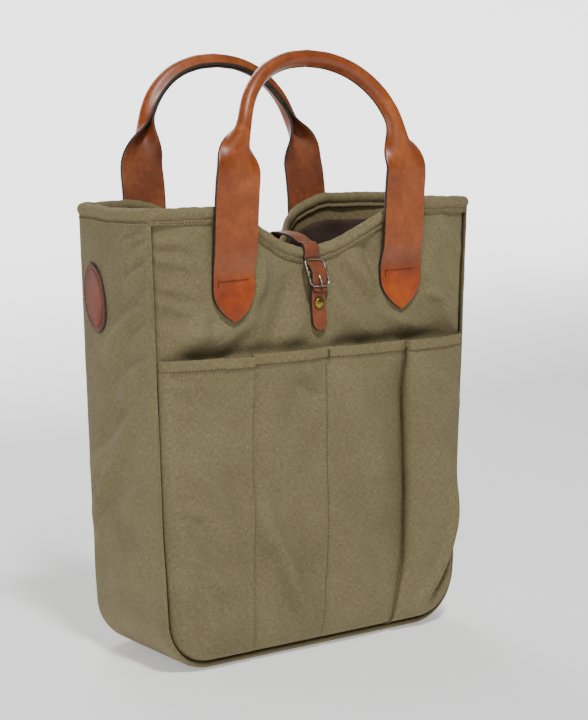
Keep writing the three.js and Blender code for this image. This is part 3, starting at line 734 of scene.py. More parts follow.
def stitch_points(start, end, normal, radius):
    """Rings of points of one stitch: a low bead that dips into the cloth at both ends."""
    start, end, normal = (np.asarray(v, float) for v in (start, end, normal))
    along = end - start
    across = np.cross(normal, along)
    across /= np.linalg.norm(across)
    points = []
    for t, size, lift in STITCH_RINGS:
        centre = start + along * t + normal * radius * lift
        for angle in np.linspace(0, 2 * np.pi, STITCH_SIDES, endpoint=False):
            spoke = across * math.cos(angle) + normal * math.sin(angle)
            points.append(centre + radius * size * spoke)
    return points


def stitch_mesh(name, stitches, material, radius=0.42):
    """One object that holds a whole row of stitches, each given as (start, end, normal)."""
    points, faces = [], []
    for start, end, normal in stitches:
        base = len(points)
        points += stitch_points(start, end, normal, radius)
        rows = len(STITCH_RINGS)
        sides = grid_faces(rows, STITCH_SIDES, close_columns=True)
        faces += [tuple(base + k for k in quad) for quad in sides]
        last = base + (rows - 1) * STITCH_SIDES
        faces.append(tuple(range(base + STITCH_SIDES - 1, base - 1, -1)))
        faces.append(tuple(range(last, last + STITCH_SIDES)))
    return new_object(name, points, faces, [material])


def stitches_along(line, normals, pitch=4.0, share=0.66):
    """Even stitches along a line of points, with the surface direction at each point."""
    line = np.asarray(line, float)
    normals = np.asarray(normals, float)
    length = path_length(line)
    count = int(length[-1] // pitch)

    def at(distance):
        point = np.array([np.interp(distance, length, line[:, i]) for i in range(3)])
        normal = np.array([np.interp(distance, length, normals[:, i]) for i in range(3)])
        return point, normal / np.linalg.norm(normal)

    made = []
    for k in range(count):
        start, normal = at(k * pitch)
        end, _ = at((k + share) * pitch)
        made.append((start, end, normal))
    return made


# ------------------------------------------------------------------ rim binding

BINDING_SECTION = [
    (2.3, -12.4), (3.3, -12.0), (3.6, -10.6), (3.3, -9.2), (2.7, -8.3), (3.9, -7.2), (4.9, -5.2),
    (5.1, -3.0), (4.5, -0.9), (3.1, 0.7), (1.2, 1.5), (-1.2, 1.5), (-3.1, 0.7), (-4.5, -0.9),
    (-5.1, -3.0), (-4.9, -5.2), (-3.9, -7.2), (-2.7, -8.3), (-3.3, -9.2), (-3.6, -10.6),
    (-3.3, -12.0), (-2.3, -12.4), (-2.0, -11.8), (-2.0, -3.0), (2.0, -3.0), (2.0, -11.8),
]


MOUTH_CORNER = 6.0
MOUTH_HALF = HALF_TOP - 2.2
MOUTH_DEPTH = HALF_DEPTH - 2.2


def mouth_corner(sign_x, sign_y, start):
    """Places round one corner of the mouth, a quarter turn on from the start angle."""
    places = []
    for angle in np.linspace(start, start + math.pi / 2, 10)[1:-1]:
        nx, ny = math.cos(angle), math.sin(angle)
        x = sign_x * (MOUTH_HALF - MOUTH_CORNER) + MOUTH_CORNER * nx
        y = sign_y * (MOUTH_DEPTH - MOUTH_CORNER) + MOUTH_CORNER * ny
        places.append((x, None, y, nx, ny))
    return places


def mouth_path():
    """Places round the mouth: (x, name of the wall or None, y, outward x, outward y)."""
    run = MOUTH_HALF - MOUTH_CORNER
    reach = MOUTH_DEPTH - MOUTH_CORNER
    path = [(x, "front", 0.0, 0.0, -1.0) for x in np.linspace(-run, run, 150)]
    path += mouth_corner(1, -1, -math.pi / 2)
    path += [(MOUTH_HALF, None, y, 1.0, 0.0) for y in np.linspace(-reach, reach, 40)]
    path += mouth_corner(1, 1, 0.0)
    path += [(x, "back", 0.0, 0.0, 1.0) for x in np.linspace(run, -run, 150)]
    path += mouth_corner(-1, 1, math.pi / 2)
    path += [(-MOUTH_HALF, None, y, -1.0, 0.0) for y in np.linspace(reach, -reach, 40)]
    path += mouth_corner(-1, -1, math.pi)
    return path


def binding_point(place, out, rise):
    """One point of the binding: out from the wall's middle and up from the rim, in mm."""
    x, side, y, nx, ny = place
    sag = -1.6 * math.exp(-(y / 30) ** 2) if side is None else 0.0
    z = float(rim_height(x)) + rise + sag
    if side == "front":
        y = float(front_base(x, z)) + 2.0
    elif side == "back":
        y = float(back_base(x, z)) - 2.0
    crinkle = 0.25 * math.sin(x * 0.21 + y * 0.17) + 0.18 * math.sin(x * 0.53 - y * 0.4)
    return np.array([x + nx * out, y + ny * (out + crinkle * 0.5), z + crinkle])


def make_binding():
    """The folded canvas strip all round the rim, with its line of stitches."""
    path = mouth_path()
    grid = np.array([[binding_point(place, *p) for p in BINDING_SECTION] for place in path])
    rows, columns = grid.shape[:2]
    closed = np.concatenate([grid, grid[:1]], axis=0)
    uv = arc_uv(closed)[:rows * columns]
    faces = grid_faces(rows, columns, close_columns=True) + closing_faces(rows, columns)
    binding = new_object("rim_binding", grid.reshape(-1, 3), faces, [TRIM], uv=uv)
    fix_normals(binding)
    line = [binding_point(place, 3.6, -10.2) for place in path]
    normals = [(place[3], place[4], 0.0) for place in path]
    thread = stitch_mesh("binding_stitches", stitches_along(line, normals, 3.4), CANVAS_THREAD, 0.4)
    piece = join("rim_binding", [binding, thread])
    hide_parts("front_rim_binding", "back_rim_binding", "left_rim_binding", "right_rim_binding")
    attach(piece, "root")


def fix_normals(obj):
    """Turns the faces of a closed mesh outward."""
    mesh = bmesh.new()
    mesh.from_mesh(obj.data)
    bmesh.ops.recalc_face_normals(mesh, faces=mesh.faces)
    mesh.to_mesh(obj.data)
    mesh.free()


# ------------------------------------------------------------------ pockets

POCKET_STAND = 7.4
POCKET_FOLD_STRENGTH = 1.35
HEM_HEIGHT = 8.0
HEM_THICKNESS = 0.9
FOLDED = (-104.5, -75.8)    # stretch of the left pocket's mouth that is folded under
# Height and place across of each pleat's fold line.
PLEAT_LEFT = ((0, -75.0), (260, -76.0))
PLEAT_RIGHT = ((0, 78.5), (9, 79.0), (62, 92.0), (143, 96.0), (206, 92.5), (254, 89.0), (262, 88.5))
POCKET_SEAM_X = 4.0


def along_height(table, z):
    """A smooth curve through (height, x) points: one average of nine shifted samples rounds the
    corners.
    """
    heights, places = zip(*table)
    offsets = np.linspace(-18, 18, 9)
    return sum(np.interp(z + d, heights, places) for d in offsets) / len(offsets)


def pocket_half(z):
    """Half the width of the pocket cloth between its side seams."""
    drop = CORNER_RADIUS - np.minimum(z, CORNER_RADIUS)
    low = np.sqrt(np.maximum(SEAM_RADIUS ** 2 - drop ** 2, 0))
    return np.where(z < CORNER_RADIUS, CORNER_X + low, half_width(z) - seam_inset(z))


def pocket_sections(z):
    """X and stand-off of the pocket cloth across one height; z is a column of heights."""
    half = pocket_half(z)
    left = along_height(PLEAT_LEFT, z)
    right = along_height(PLEAT_RIGHT, z)
    middle = smooth(z, 20, 110) * (1 - smooth(z, 215, 262))
    under = smooth(z, 6, 40)
    t = np.linspace(0, 1, 62)[None, :]
    x_a = -half + (left + half) * (1 - (1 - t) ** 1.25)
    h_a = POCKET_STAND + 1.3 * np.sin(np.pi * t) + 2.6 * bell(x_a - left, 3.0)
    t = np.linspace(0, 1, 104)[None, :]
    start, end = left + 0.5, right - 1.4
    x_b = start + (end - start) * (t + 0.05 * np.sin(2 * np.pi * t))
    valley = 2.2 + 4.2 * middle + 1.8 * under
    wide = 7 + 14 * middle
    h_b = POCKET_STAND - 0.4 + 1.5 * np.sin(np.pi * t) - 0.9 * bell(x_b - POCKET_SEAM_X, 1.5)
    dip = 0.62 * bell(x_b - right, wide) + 0.38 * bell(x_b - right, 4.5)
    h_b = h_b - 0.5 * bell(x_b - POCKET_SEAM_X, 9) - valley * dip - 1.4 * bell(x_b - left, 7)
    crest = POCKET_STAND + 3.4 + 6.6 * middle
    shift = np.array([[-1.2, -4.4, -6.4, -6.6, -5.2, -2.4, 1.2, 4.4]])
    shift = -1.2 + (shift + 1.2) * (0.35 + 0.65 * middle)
    climb = np.array([[0.02, 0.28, 0.46, 0.66, 0.82, 0.93, 0.98, 1.0]])
    base = h_b[:, -1:]
    x_c = right + shift
    h_c = base + (crest - base) * climb
    t = np.linspace(0, 1, 50)[None, 1:]
    x_d = right + 4.4 + (half - right - 4.4) * t
    h_d = crest + 2.2 * middle * np.sin(np.pi * np.minimum(t * 1.3, 1))
    h_d = h_d - (crest - POCKET_STAND) * t ** 2
    x = np.concatenate([x_a, x_b, x_c, x_d], axis=1)
    stand = np.concatenate([h_a, h_b, h_c, h_d], axis=1)
    return x, stand + POCKET_GAPE * smooth(z, 200, POCKET_TOP) * mouth_profile(x)


def pocket_surface(z, extra=0.0):
    """Points of the pocket cloth at a column of heights, standing extra mm further out."""
    x, stand = pocket_sections(z)
    seam = np.where(z < CORNER_RADIUS, SEAM_INSET_LOW, seam_inset(z))
    inside = np.maximum(outline_distance(x, np.maximum(z, 0) + 0 * x) - seam, 0)
    edge = 1 - np.exp(-(inside / 4.6) ** 1.25)
    shape = POCKET_FOLD_STRENGTH * folds(x, z, POCKET_FOLDS)
    shape = shape + waves(x, z, 31, 64, 0.9) + waves(x, z, 32, 21, 0.2)
    calm = smooth(inside, 0, 10) * (1 - 0.7 * smooth(z, 240, 256))
    sag = 1.6 * smooth(z, 0, 40) * (1 - smooth(z, 60, 170))
    y = -HALF_DEPTH + 4.6 * np.exp(-(inside / 3.2) ** 1.4)
    y = y - (stand + extra + sag + shape * calm) * edge
    folded = ((x > FOLDED[0]) & (x < FOLDED[1])).astype(float) * smooth(z, 225, 255)
    return np.stack([x, y + 1.0 * folded, z - 1.5 * folded], axis=2)


def hem_grid():
    """The folded hem: up the outside of the pocket cloth, over its top and down inside."""
    heights = np.linspace(POCKET_TOP - HEM_HEIGHT, POCKET_TOP + 0.6, 9)[:, None]
    outside = pocket_surface(heights, HEM_THICKNESS)
    outside[0, :, 1] += 0.7
    crown = ((0.5, 0.8), (1.4, 1.1), (2.3, 0.7), (2.8, 0.0))
    over = [outside[-1] + np.array([0, back, rise]) for back, rise in crown]
    inside = [outside[-1] + np.array([0, 2.9, -drop]) for drop in (2.0, 4.0, 6.0)]
    return np.concatenate([outside, np.array(over), np.array(inside)], axis=0)


def make_pocket():
    t = np.linspace(0, 1, 150)[:, None]
    low = SEAM_INSET_LOW + 0.02
    z = low + (POCKET_TOP - 0.5 - low) * (0.35 * t + 0.65 * t ** 1.5)
    grid = pocket_surface(z)
    cloth = sheet_object("pocket_canvas", grid, CANVAS, POCKET_THICKNESS, BEHIND)
    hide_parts("pocket_panel", "pocket_left_edge", "pocket_right_edge", "pocket_bottom_edge",
                "pocket_pleat_left", "pocket_seam_center", "pocket_pleat_right")
    hem = sheet_object("pocket_hem_band", hem_grid(), TRIM, LINING_THICKNESS, BEHIND)
    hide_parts("pocket_hem")
    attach(cloth, "root")
    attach(hem, "root")
    make_pocket_stitches()


def make_pocket_stitches():
    """Stitches along the hem and the centre seam, and the zigzag tack at the seam's top."""
    line = pocket_surface(np.array([[POCKET_TOP - 7.2]]), 1.0)[0]
    keep = np.concatenate([[True], np.linalg.norm(np.diff(line, axis=0), axis=1) > 0.3])
    line = line[keep]
    rows = stitches_along(line, np.tile(FRONT, (len(line), 1)), 3.2)
    z = np.linspace(8, POCKET_TOP - 10, 120)[:, None]
    grid = pocket_surface(z)
    column = np.argmin(np.abs(grid[60, :, 0] - POCKET_SEAM_X))
    seam = grid[:, column] + np.array([0.0, -0.1, 0.0])
    rows += stitches_along(seam, np.tile(FRONT, (len(seam), 1)), 3.0)
    tack = pocket_surface(np.array([[POCKET_TOP - 1.0]]), 1.2)[0]
    near = tack[np.argmin(np.abs(tack[:, 0] - POCKET_SEAM_X))]
    for k in range(9):
        turn = -1 if k % 2 else 1
        low = near + np.array([turn * 1.6, 0, -k * 0.9])
        rows.append((low, low + np.array([-turn * 3.2, 0, -0.7]), FRONT))
    thread = stitch_mesh("pocket_stitches", rows, CANVAS_THREAD, 0.38)
    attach(thread, "root")


# ------------------------------------------------------------------ handles

STRAP_THICKNESS = 3.2
STRAP_TIP = 287.0
STRAP_SHOULDER = 314.0
STRAP_SEWN = 321.0
STRAP_SPLIT = 350.0
ROLL_START = 408.0
ROLL_END = 455.0
TWIST_HEIGHTS = (425, 478)
NARROWING_HEIGHTS = (400, 452)
STRAP_NARROWING = 5.75
SEWN_GAP = 0.35
FREE_HEIGHTS = (322, 344)      # heights over which a strap leaves the canvas
EDGE_MARGIN = 3.4
ROLL_ANGLE = np.radians(118)
ROLL_LENGTH = 9
ROLL_UNBEND = np.radians(28)
DRESSED_FROM = 434
THREAD_TOP = 399
STRAP_CELLS = 22
EDGE_CELLS = 4
# Slot of the sewn strap ends' more orange leather, a copy painted with their light.
TAB_LIT_SLOT = 3
CORD_SIDES = 18
CORD_FROM = ROLL_END + 8
# The middle of each handle's right half, from its tip to the top of the arch.
HANDLES = {
    "front": {
        "side": -1,
        "line": [(STRAP_X, -59.3, STRAP_TIP), (STRAP_X, -59.6, STRAP_SEWN),
                 (STRAP_X, -61.5, STRAP_SPLIT), (STRAP_X, -63.5, 384.6),
                 (86, -65.6, 415), (79.5, -62, 444), (67, -54, 470), (46.5, -46, 489),
                 (22, -41.5, 498.5), (0, -40, 501)],
        "surface": front_y,
        "twist": 58,
    },
    "back": {
        "side": 1,
        "line": [(STRAP_X, 70.6, STRAP_TIP), (STRAP_X, 74.9, STRAP_SEWN),
                 (STRAP_X, 77.15, STRAP_SPLIT), (STRAP_X, 79.6, 384.6),
                 (86, 85, 415), (79.5, 90.5, 444), (67, 95, 470), (46.5, 98, 489),
                 (22, 99.5, 498.5), (0, 100, 501)],
        "surface": back_y,
        "twist": 34,
    },
}


def hermite_line(points, step):
    """A smooth line through the points, sampled about every step mm."""
    p = np.asarray(points, float)
    d = np.linalg.norm(np.diff(p, axis=0), axis=1)
    t = np.concatenate([[0], np.cumsum(d)])
    slopes = np.diff(p, axis=0) / d[:, None]
    middle = (d[1:, None] * slopes[:-1] + d[:-1, None] * slopes[1:]) / (d[1:] + d[:-1])[:, None]
    m = np.concatenate([slopes[:1], middle, slopes[-1:]])
    s = np.linspace(0, t[-1], int(t[-1] / step) + 1)
    k = np.clip(np.searchsorted(t, s, side="right") - 1, 0, len(d) - 1)
    h = d[k][:, None]
    f = ((s - t[k]) / d[k])[:, None]
    return ((2 * f ** 3 - 3 * f ** 2 + 1) * p[k] + (f ** 3 - 2 * f ** 2 + f) * h * m[k]
            + (3 * f ** 2 - 2 * f ** 3) * p[k + 1] + (f ** 3 - f ** 2) * h * m[k + 1])


def curl(q, roll):
    """Place and outward direction on the curled middle of the leather, q mm from its centre."""
    distance = np.linspace(0, 1, 41)[None, :] * np.abs(q)[:, None]
    angle = ROLL_ANGLE * np.clip(distance / ROLL_LENGTH, 0, 1)
    angle = (angle - ROLL_UNBEND * np.clip((distance - 13.5) / 2, 0, 1)) * roll
    scale = 1 + 0.1 * roll
    step = np.abs(q) / 40 * scale
    middle = (angle[:, 1:] + angle[:, :-1]) / 2
    across = np.sign(q) * (np.cos(middle).sum(axis=1) * step)
    down = -np.sin(middle).sum(axis=1) * step + 5.5 * roll
    last = angle[:, -1]
    normal = np.stack([np.sign(q) * np.sin(last), np.cos(last)], axis=1)
    return np.stack([across, down], axis=1), normal


def strap_section(half, thickness, roll, cells=STRAP_CELLS):
    """Ring of (across, outward) points: outer face, right edge, inner face, left edge."""
    inner_half = half - 0.45
    q_face = np.linspace(-inner_half, inner_half, cells + 1)
    edge_q = np.array([half - 0.12, half, half - 0.12])
    edge_o = np.array([0.36, 0.0, -0.36]) * thickness
    q = np.concatenate([q_face, edge_q, q_face[::-1], -edge_q])
    o = np.concatenate([np.full(cells + 1, thickness / 2), edge_o,
                        np.full(cells + 1, -thickness / 2), -edge_o])
    place, normal = curl(q, roll)
    return place + normal * o[:, None]


def section_slots(rows, cells=STRAP_CELLS, dressed=()):
    """Material slot of each face round the ring: 0 outside, 1 dyed edge, 2 flesh side.

    In the dressed rows the dark edge dressing also covers a strip of the outer face.
    """
    edge = [1] * EDGE_CELLS
    plain = [0] * cells + edge + [2] * cells + edge
    wide = [1] + [0] * (cells - 2) + [1] + edge + [2] * cells + edge
    slots = []
    for row in range(rows):
        slots += wide if row in dressed else plain
    return slots


def strap_half(z):
    """Half the width of a strap, which narrows to its pointed oval end."""
    t = np.clip((STRAP_SHOULDER - z) / (STRAP_SHOULDER - STRAP_TIP), 0, 1)
    return max(STRAP_WIDTH / 2 * (1 - t ** 2.0) ** 0.8, 0.7)


def handle_line(face):
    """The whole middle line of a handle, from the right tip over the arch to the left tip."""
    right = hermite_line(HANDLES[face]["line"], 2.0)
    left = right[-2::-1] * np.array([-1, 1, 1])
    return np.concatenate([right, left])


def line_frames(line, side, turn):
    """Across and outward directions; turn swings outward from the side to the arch's rim."""
    along = unit(np.gradient(line, axis=0))
    rim = np.stack([along[:, 2], 0 * turn, -along[:, 0]], axis=1)
    outward = np.sin(turn)[:, None] * rim
    outward[:, 1] += side * np.cos(turn)
    outward = unit(outward - along * (outward * along).sum(axis=1)[:, None])
    return np.cross(along, outward), outward


def handle_rings(face):
    """The handle's middle line, its across and outward directions and its leather sections."""
    side = HANDLES[face]["side"]
    line = handle_line(face)
    twist = math.radians(HANDLES[face]["twist"]) * smooth(line[:, 2], *TWIST_HEIGHTS)
    across, outward = line_frames(line, side, twist)
    rings = []
    for point, w, n in zip(line, across, outward):
        roll = float(smooth(point[2], ROLL_START, ROLL_END))
        half = strap_half(point[2]) - STRAP_NARROWING * float(smooth(point[2], *NARROWING_HEIGHTS))
        section = strap_section(half, STRAP_THICKNESS - roll, roll)
        rings.append(point + section[:, :1] * w + section[:, 1:] * n)
    return line, across, outward, np.array(rings)


def strap_stitches(line, across, outward, sign, low, high):
    """Lines and directions for the stitches near both edges of a strap, between two heights."""
    keep = [i for i in range(len(line)) if low <= line[i, 2] <= high and sign * line[i, 0] > 0]
    if sign < 0:
        keep = keep[::-1]
    made = []
    for edge in (-1, 1):
        path, normals = [], []
        for i in keep:
            half = strap_half(line[i, 2]) - EDGE_MARGIN
            if half >= 2:
                path.append(line[i] + across[i] * edge * half + outward[i] * (STRAP_THICKNESS / 2))
                normals.append(outward[i])
        made.append((np.array(path), np.array(normals)))
    return made


def settle(face, points):
    """Lays the sewn part of a strap on the canvas behind it and leaves the rest where it is."""
    side = HANDLES[face]["side"]
    z = points[:, 2]
    line = np.array(HANDLES[face]["line"])
    plane = np.interp(z, line[:, 2], line[:, 1]) - side * STRAP_THICKNESS / 2
    wanted = HANDLES[face]["surface"](points[:, 0], z) + side * SEWN_GAP
    shift = (wanted - plane) * (1 - smooth(z, *FREE_HEIGHTS))
    moved = points.copy()
    moved[:, 1] += shift
    return moved


def make_handle(face):
    """One handle: two sewn straps, the arch between them and the cord inside its grip."""
    side = HANDLES[face]["side"]
    line, across, outward, rings = handle_rings(face)
    split = int(np.argmax(line[:, 2] >= STRAP_SPLIT))
    ring = rings.shape[1]
    for sign, label in ((-1, "left"), (1, "right")):
        low = rings[:split + 1] * np.array([sign, 1, 1])
        points = settle(face, low.reshape(-1, 3))
        faces = grid_faces(split + 1, ring, close_columns=True, flip=sign * side > 0)
        slots = np.array(section_slots(split))
        heights = np.repeat(line[:split, 2], ring)
        # Below the cross stitch the outer face takes the more orange leather, the painted light of the
        # sewn ends.
        slots = np.where((slots == 0) & (heights < STRAP_SEWN), TAB_LIT_SLOT, slots)
        strap = new_object(f"{face}_{label}_strap_low", points, faces,
                           [LEATHER, EDGE, FLESH, TAB_LEATHER_LIT], slots)
        threads = tab_threads(face, sign, line, across, outward)
        piece = join(f"{face}_{label}_strap_sewn", [strap] + threads)
        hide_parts(f"{face}_{label}_tab", f"{face}_{label}_strap")
        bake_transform(piece)
    make_arch(face, line, across, outward, rings, split)
    make_core(face, line)


def make_arch(face, line, across, outward, rings, split):
    """The leather from strap to strap over the top, flat below and rolled round the cord."""
    count = len(line) - 2 * split
    upper = rings[split:split + count]
    faces = grid_faces(count, rings.shape[1], close_columns=True, flip=HANDLES[face]["side"] < 0)
    dressed = {i for i in range(count - 1) if line[split + i, 2] > DRESSED_FROM}
    arch = new_object(f"{face}_arch", upper.reshape(-1, 3), faces, [LEATHER, EDGE, FLESH],
                      section_slots(count - 1, dressed=dressed))
    threads = []
    for sign in (-1, 1):
        for path, normals in strap_stitches(line, across, outward, sign, STRAP_SPLIT, THREAD_TOP):
            threads.append(stitch_mesh("thread", stitches_along(path, normals, 3.3), THREAD, 0.34))
    piece = join(f"{face}_handle_leather", [arch] + threads)
    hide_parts(f"{face}_grip")
    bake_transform(piece)


def tab_threads(face, sign, line, across, outward):
    """The stitches on one sewn strap end: along both edges and across the fold line."""
    side = HANDLES[face]["side"]
    threads = []
    mirror = np.array([sign, 1, 1])
    for path, normals in strap_stitches(line, across, outward, 1, STRAP_TIP + 1, STRAP_SPLIT):
        path = settle(face, path * mirror)
        threads.append(stitch_mesh("thread", stitches_along(path, normals, 3.3), THREAD, 0.34))
    x = np.linspace(-16.5, 16.5, 12)
    path = [(sign * STRAP_X + x[0] - 0.3, 0, STRAP_SEWN - 5), (sign * STRAP_X + x[0], 0, STRAP_SEWN)]
    path += [(sign * STRAP_X + v, 0, STRAP_SEWN + 0.02 * v) for v in x[1:]]
    path = np.array(path)
    table = np.array(HANDLES[face]["line"])
    path[:, 1] = np.interp(path[:, 2], table[:, 2], table[:, 1]) + side * STRAP_THICKNESS / 2
    path = settle(face, path)
    normals = np.tile([0.0, float(side), 0.0], (len(path), 1))
    threads.append(stitch_mesh("thread", stitches_along(path, normals, 2.6, 0.8), DARK_THREAD, 0.5))
    return threads


def make_core(face, line):
    """Twisted cotton cord inside the rolled grip."""
    keep = line[line[:, 2] > CORD_FROM]
    across, outward = line_frames(keep, HANDLES[face]["side"], 0 * keep[:, 0])
    length = path_length(keep)
    angles = np.linspace(0, 2 * np.pi, CORD_SIDES, endpoint=False)
    rings = []
    for point, w, n, s in zip(keep, across, outward, length):
        radius = 2.9 + 0.35 * np.abs(np.cos(1.5 * (angles + s * 0.35)))
        spokes = np.cos(angles)[:, None] * w + np.sin(angles)[:, None] * n
        rings.append(point + radius[:, None] * spokes)
    rings = np.array(rings)
    faces = grid_faces(len(keep), CORD_SIDES, close_columns=True, flip=True)
    faces += end_caps(len(keep), CORD_SIDES)
    core = new_object(f"{face}_cord", rings.reshape(-1, 3), faces, [CORD])
    fix_normals(core)
    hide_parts(f"{face}_grip_core")
    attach(core, f"{face}_handle_grip")


# ------------------------------------------------------------------ closure strap and buckle

BUCKLE_TOP = np.array([-48.6, 334.5])
BUCKLE_DOWN = np.array([-0.4462, -0.8949])
BUCKLE_OUT = np.array([-0.8949, 0.4462])
BUCKLE_LENGTH = 26.25
BUCKLE_WIDTH = 21.5
BUCKLE_WIRE = 1.15
BUCKLE_BAR = BUCKLE_LENGTH / 2
BUCKLE_CORNER = 4.0
CLOSURE_WIDTH = 15.5
CLOSURE_THICKNESS = 2.0
CLOSURE_CELLS = 10
EDGE_STITCH = 2.2
WIRE_SIDES = 14
# Lines of the anchor and of the strap over the mouth, as (y, z) places in mm.
ANCHOR_LINE = [(12.7, 341.4), (12.9, 329), (14.4, 316)]
BRIDGE_LINE = [(12.6, 341.6), (10.6, 347.5), (3, 352.4), (-12, 353.2), (-27, 350.9), (-37.2, 346.75)]
# Outlines of the turned brass parts and of the dark disc painted in the strap hole, as (radius, height)
# pairs.
CAP_PROFILE = [(4.5, 0), (4.8, 0.5), (4.8, 1.4), (4.4, 1.9), (3.6, 2.3), (2.6, 2.75), (1.4, 3.0),
               (0, 3.05)]
SOCKET_PROFILE = [(5.1, 0), (5.2, 0.4), (4.9, 0.9), (3.6, 0.95), (3.2, 0.6), (3.1, 0.1)]
POST_PROFILE = [(4.2, 0), (4.2, 0.5), (3.4, 0.8), (1.7, 0.9), (1.5, 1.4), (1.8, 2.0), (1.4, 2.5),
                (0, 2.6)]
HOLE_SHADE_PROFILE = [(1.5, 0.4), (1.5, 1.0), (1.1, 1.06), (0, 1.03)]
HOLE_SHADE_PLACE = (0, -41.2, 346.6)


def at_buckle(down, out):
    """The (y, z) place down along the buckle and out from its middle plane, in mm."""
    return tuple(BUCKLE_TOP + BUCKLE_DOWN * down + BUCKLE_OUT * out)


def strip_mesh(name, line_yz, width, tip=0.0, stitch_from=3.0, stitch_to=3.0):
    """A leather strip along a line in the YZ plane, with dyed edges and edge stitches."""
    line = hermite_line([(0, y, z) for y, z in line_yz], 1.2)
    along = unit(np.gradient(line, axis=0))
    across = np.array([1.0, 0, 0])
    outward = np.cross(across, along)
    length = path_length(line)
    rings = []
    for point, n, left in zip(line, outward, length[-1] - length):
        half = width / 2
        if left < tip:
            half = max(width / 2 * math.sqrt(max(1 - (1 - left / tip) ** 2, 0)), 0.6)
        section = strap_section(half, CLOSURE_THICKNESS, 0.0, CLOSURE_CELLS)
        rings.append(point + section[:, :1] * across + section[:, 1:] * n)
    rings = np.array(rings)
    ring = rings.shape[1]
    faces = grid_faces(len(line), ring, close_columns=True) + end_caps(len(line), ring)
    slots = section_slots(len(line) - 1, CLOSURE_CELLS) + [1, 1]
    # The closure pieces take the lighter leather, whose extra brightness is painted top light.
    strip = new_object(name, rings.reshape(-1, 3), faces, [CLOSURE_LEATHER_LIT, EDGE, FLESH], slots)
    fix_normals(strip)
    parts = [strip]
    inside = (length > stitch_from) & (length < length[-1] - stitch_to)
    face = outward[inside] * CLOSURE_THICKNESS / 2
    for edge in (-1, 1):
        path = line[inside] + across * edge * (width / 2 - EDGE_STITCH) + face
        rows = stitches_along(path, outward[inside], 3.0)
        parts.append(stitch_mesh("thread", rows, THREAD, 0.28))
    return join(name, parts)


def disc_mesh(name, centre, normal, profile, material, segments=40):
    """A turned shape: profile is (radius, height) pairs, heights measured along normal."""
    normal = np.asarray(normal, float) / np.linalg.norm(normal)
    side = np.array([1.0, 0, 0])
    other = np.cross(normal, side)
    angles = np.linspace(0, 2 * np.pi, segments, endpoint=False)
    spokes = np.cos(angles)[:, None] * side + np.sin(angles)[:, None] * other
    rings = [np.asarray(centre) + normal * h + max(r, 0.02) * spokes for r, h in profile]
    faces = grid_faces(len(profile), segments, close_columns=True)
    last = (len(profile) - 1) * segments
    faces += [tuple(range(segments))[::-1], tuple(range(last, last + segments))]
    disc = new_object(name, np.array(rings).reshape(-1, 3), faces, [material])
    fix_normals(disc)
    return disc


def tube_mesh(name, path, radius, closed=False, flat=1.0):
    """A round nickel wire along a path; flat squeezes it across its second direction."""
    path = np.asarray(path, float)
    if closed:
        along = np.roll(path, -1, axis=0) - np.roll(path, 1, axis=0)
    else:
        along = np.gradient(path, axis=0)
    along = unit(along)
    across = unit(np.cross(along, (0.0, *BUCKLE_OUT)))
    second = np.cross(across, along)
    angles = np.linspace(0, 2 * np.pi, WIRE_SIDES, endpoint=False)
    rings = [p + radius * (np.cos(angles)[:, None] * a + flat * np.sin(angles)[:, None] * b)
             for p, a, b in zip(path, across, second)]
    ends = closing_faces if closed else end_caps
    faces = grid_faces(len(path), WIRE_SIDES, close_columns=True) + ends(len(path), WIRE_SIDES)
    tube = new_object(name, np.array(rings).reshape(-1, 3), faces, [NICKEL])
    fix_normals(tube)
    return tube


def buckle_outline(half):
    """The rounded rectangle of the buckle's wire, a little bowed out of its plane."""
    outline = []
    near, far = BUCKLE_WIRE, BUCKLE_LENGTH - BUCKLE_WIRE
    for x, down, start in ((half, far, 0), (-half, far, 90), (-half, near, 180), (half, near, 270)):
        cx = x - math.copysign(BUCKLE_CORNER, x)
        cd = down - math.copysign(BUCKLE_CORNER, down - BUCKLE_BAR)
        for angle in np.radians(np.linspace(start, start + 90, 9)):
            y, z = at_buckle(cd + BUCKLE_CORNER * math.sin(angle), 0.3 * math.cos(2 * angle))
            outline.append((cx + BUCKLE_CORNER * math.cos(angle), y, z))
    return outline


def make_buckle():
    """The buckle's wire frame with its centre bar, and the prong that turns on the bar."""
    half = BUCKLE_WIDTH / 2 - BUCKLE_WIRE
    frame_wire = tube_mesh("buckle_wire", buckle_outline(half), BUCKLE_WIRE, closed=True)
    y, z = at_buckle(BUCKLE_BAR, 0)
    bar = tube_mesh("buckle_bar", [(x, y, z) for x in np.linspace(-half, half, 9)], 1.0)
    piece = join("buckle_frame_wire", [frame_wire, bar])
    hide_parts("buckle_frame")
    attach(piece, "closure_end")
    ring = [(0, *at_buckle(BUCKLE_BAR + 2.2 * math.cos(a), 2.2 * math.sin(a)))
            for a in np.radians(np.linspace(-20, -330, 24))]
    rod = ((14.9, 1.2), (17.5, 1.9), (21.1, 2.3), (25.0, 2.5), (27.3, 2.4))
    rod = [(0, *at_buckle(down, out)) for down, out in rod]
    loop = tube_mesh("prong_ring", ring, 0.7)
    point = tube_mesh("prong_rod", hermite_line(rod, 0.8), 1.0, flat=0.75)
    prong = join("buckle_prong_wire", [loop, point])
    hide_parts("buckle_prong")
    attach(prong, "buckle_prong")


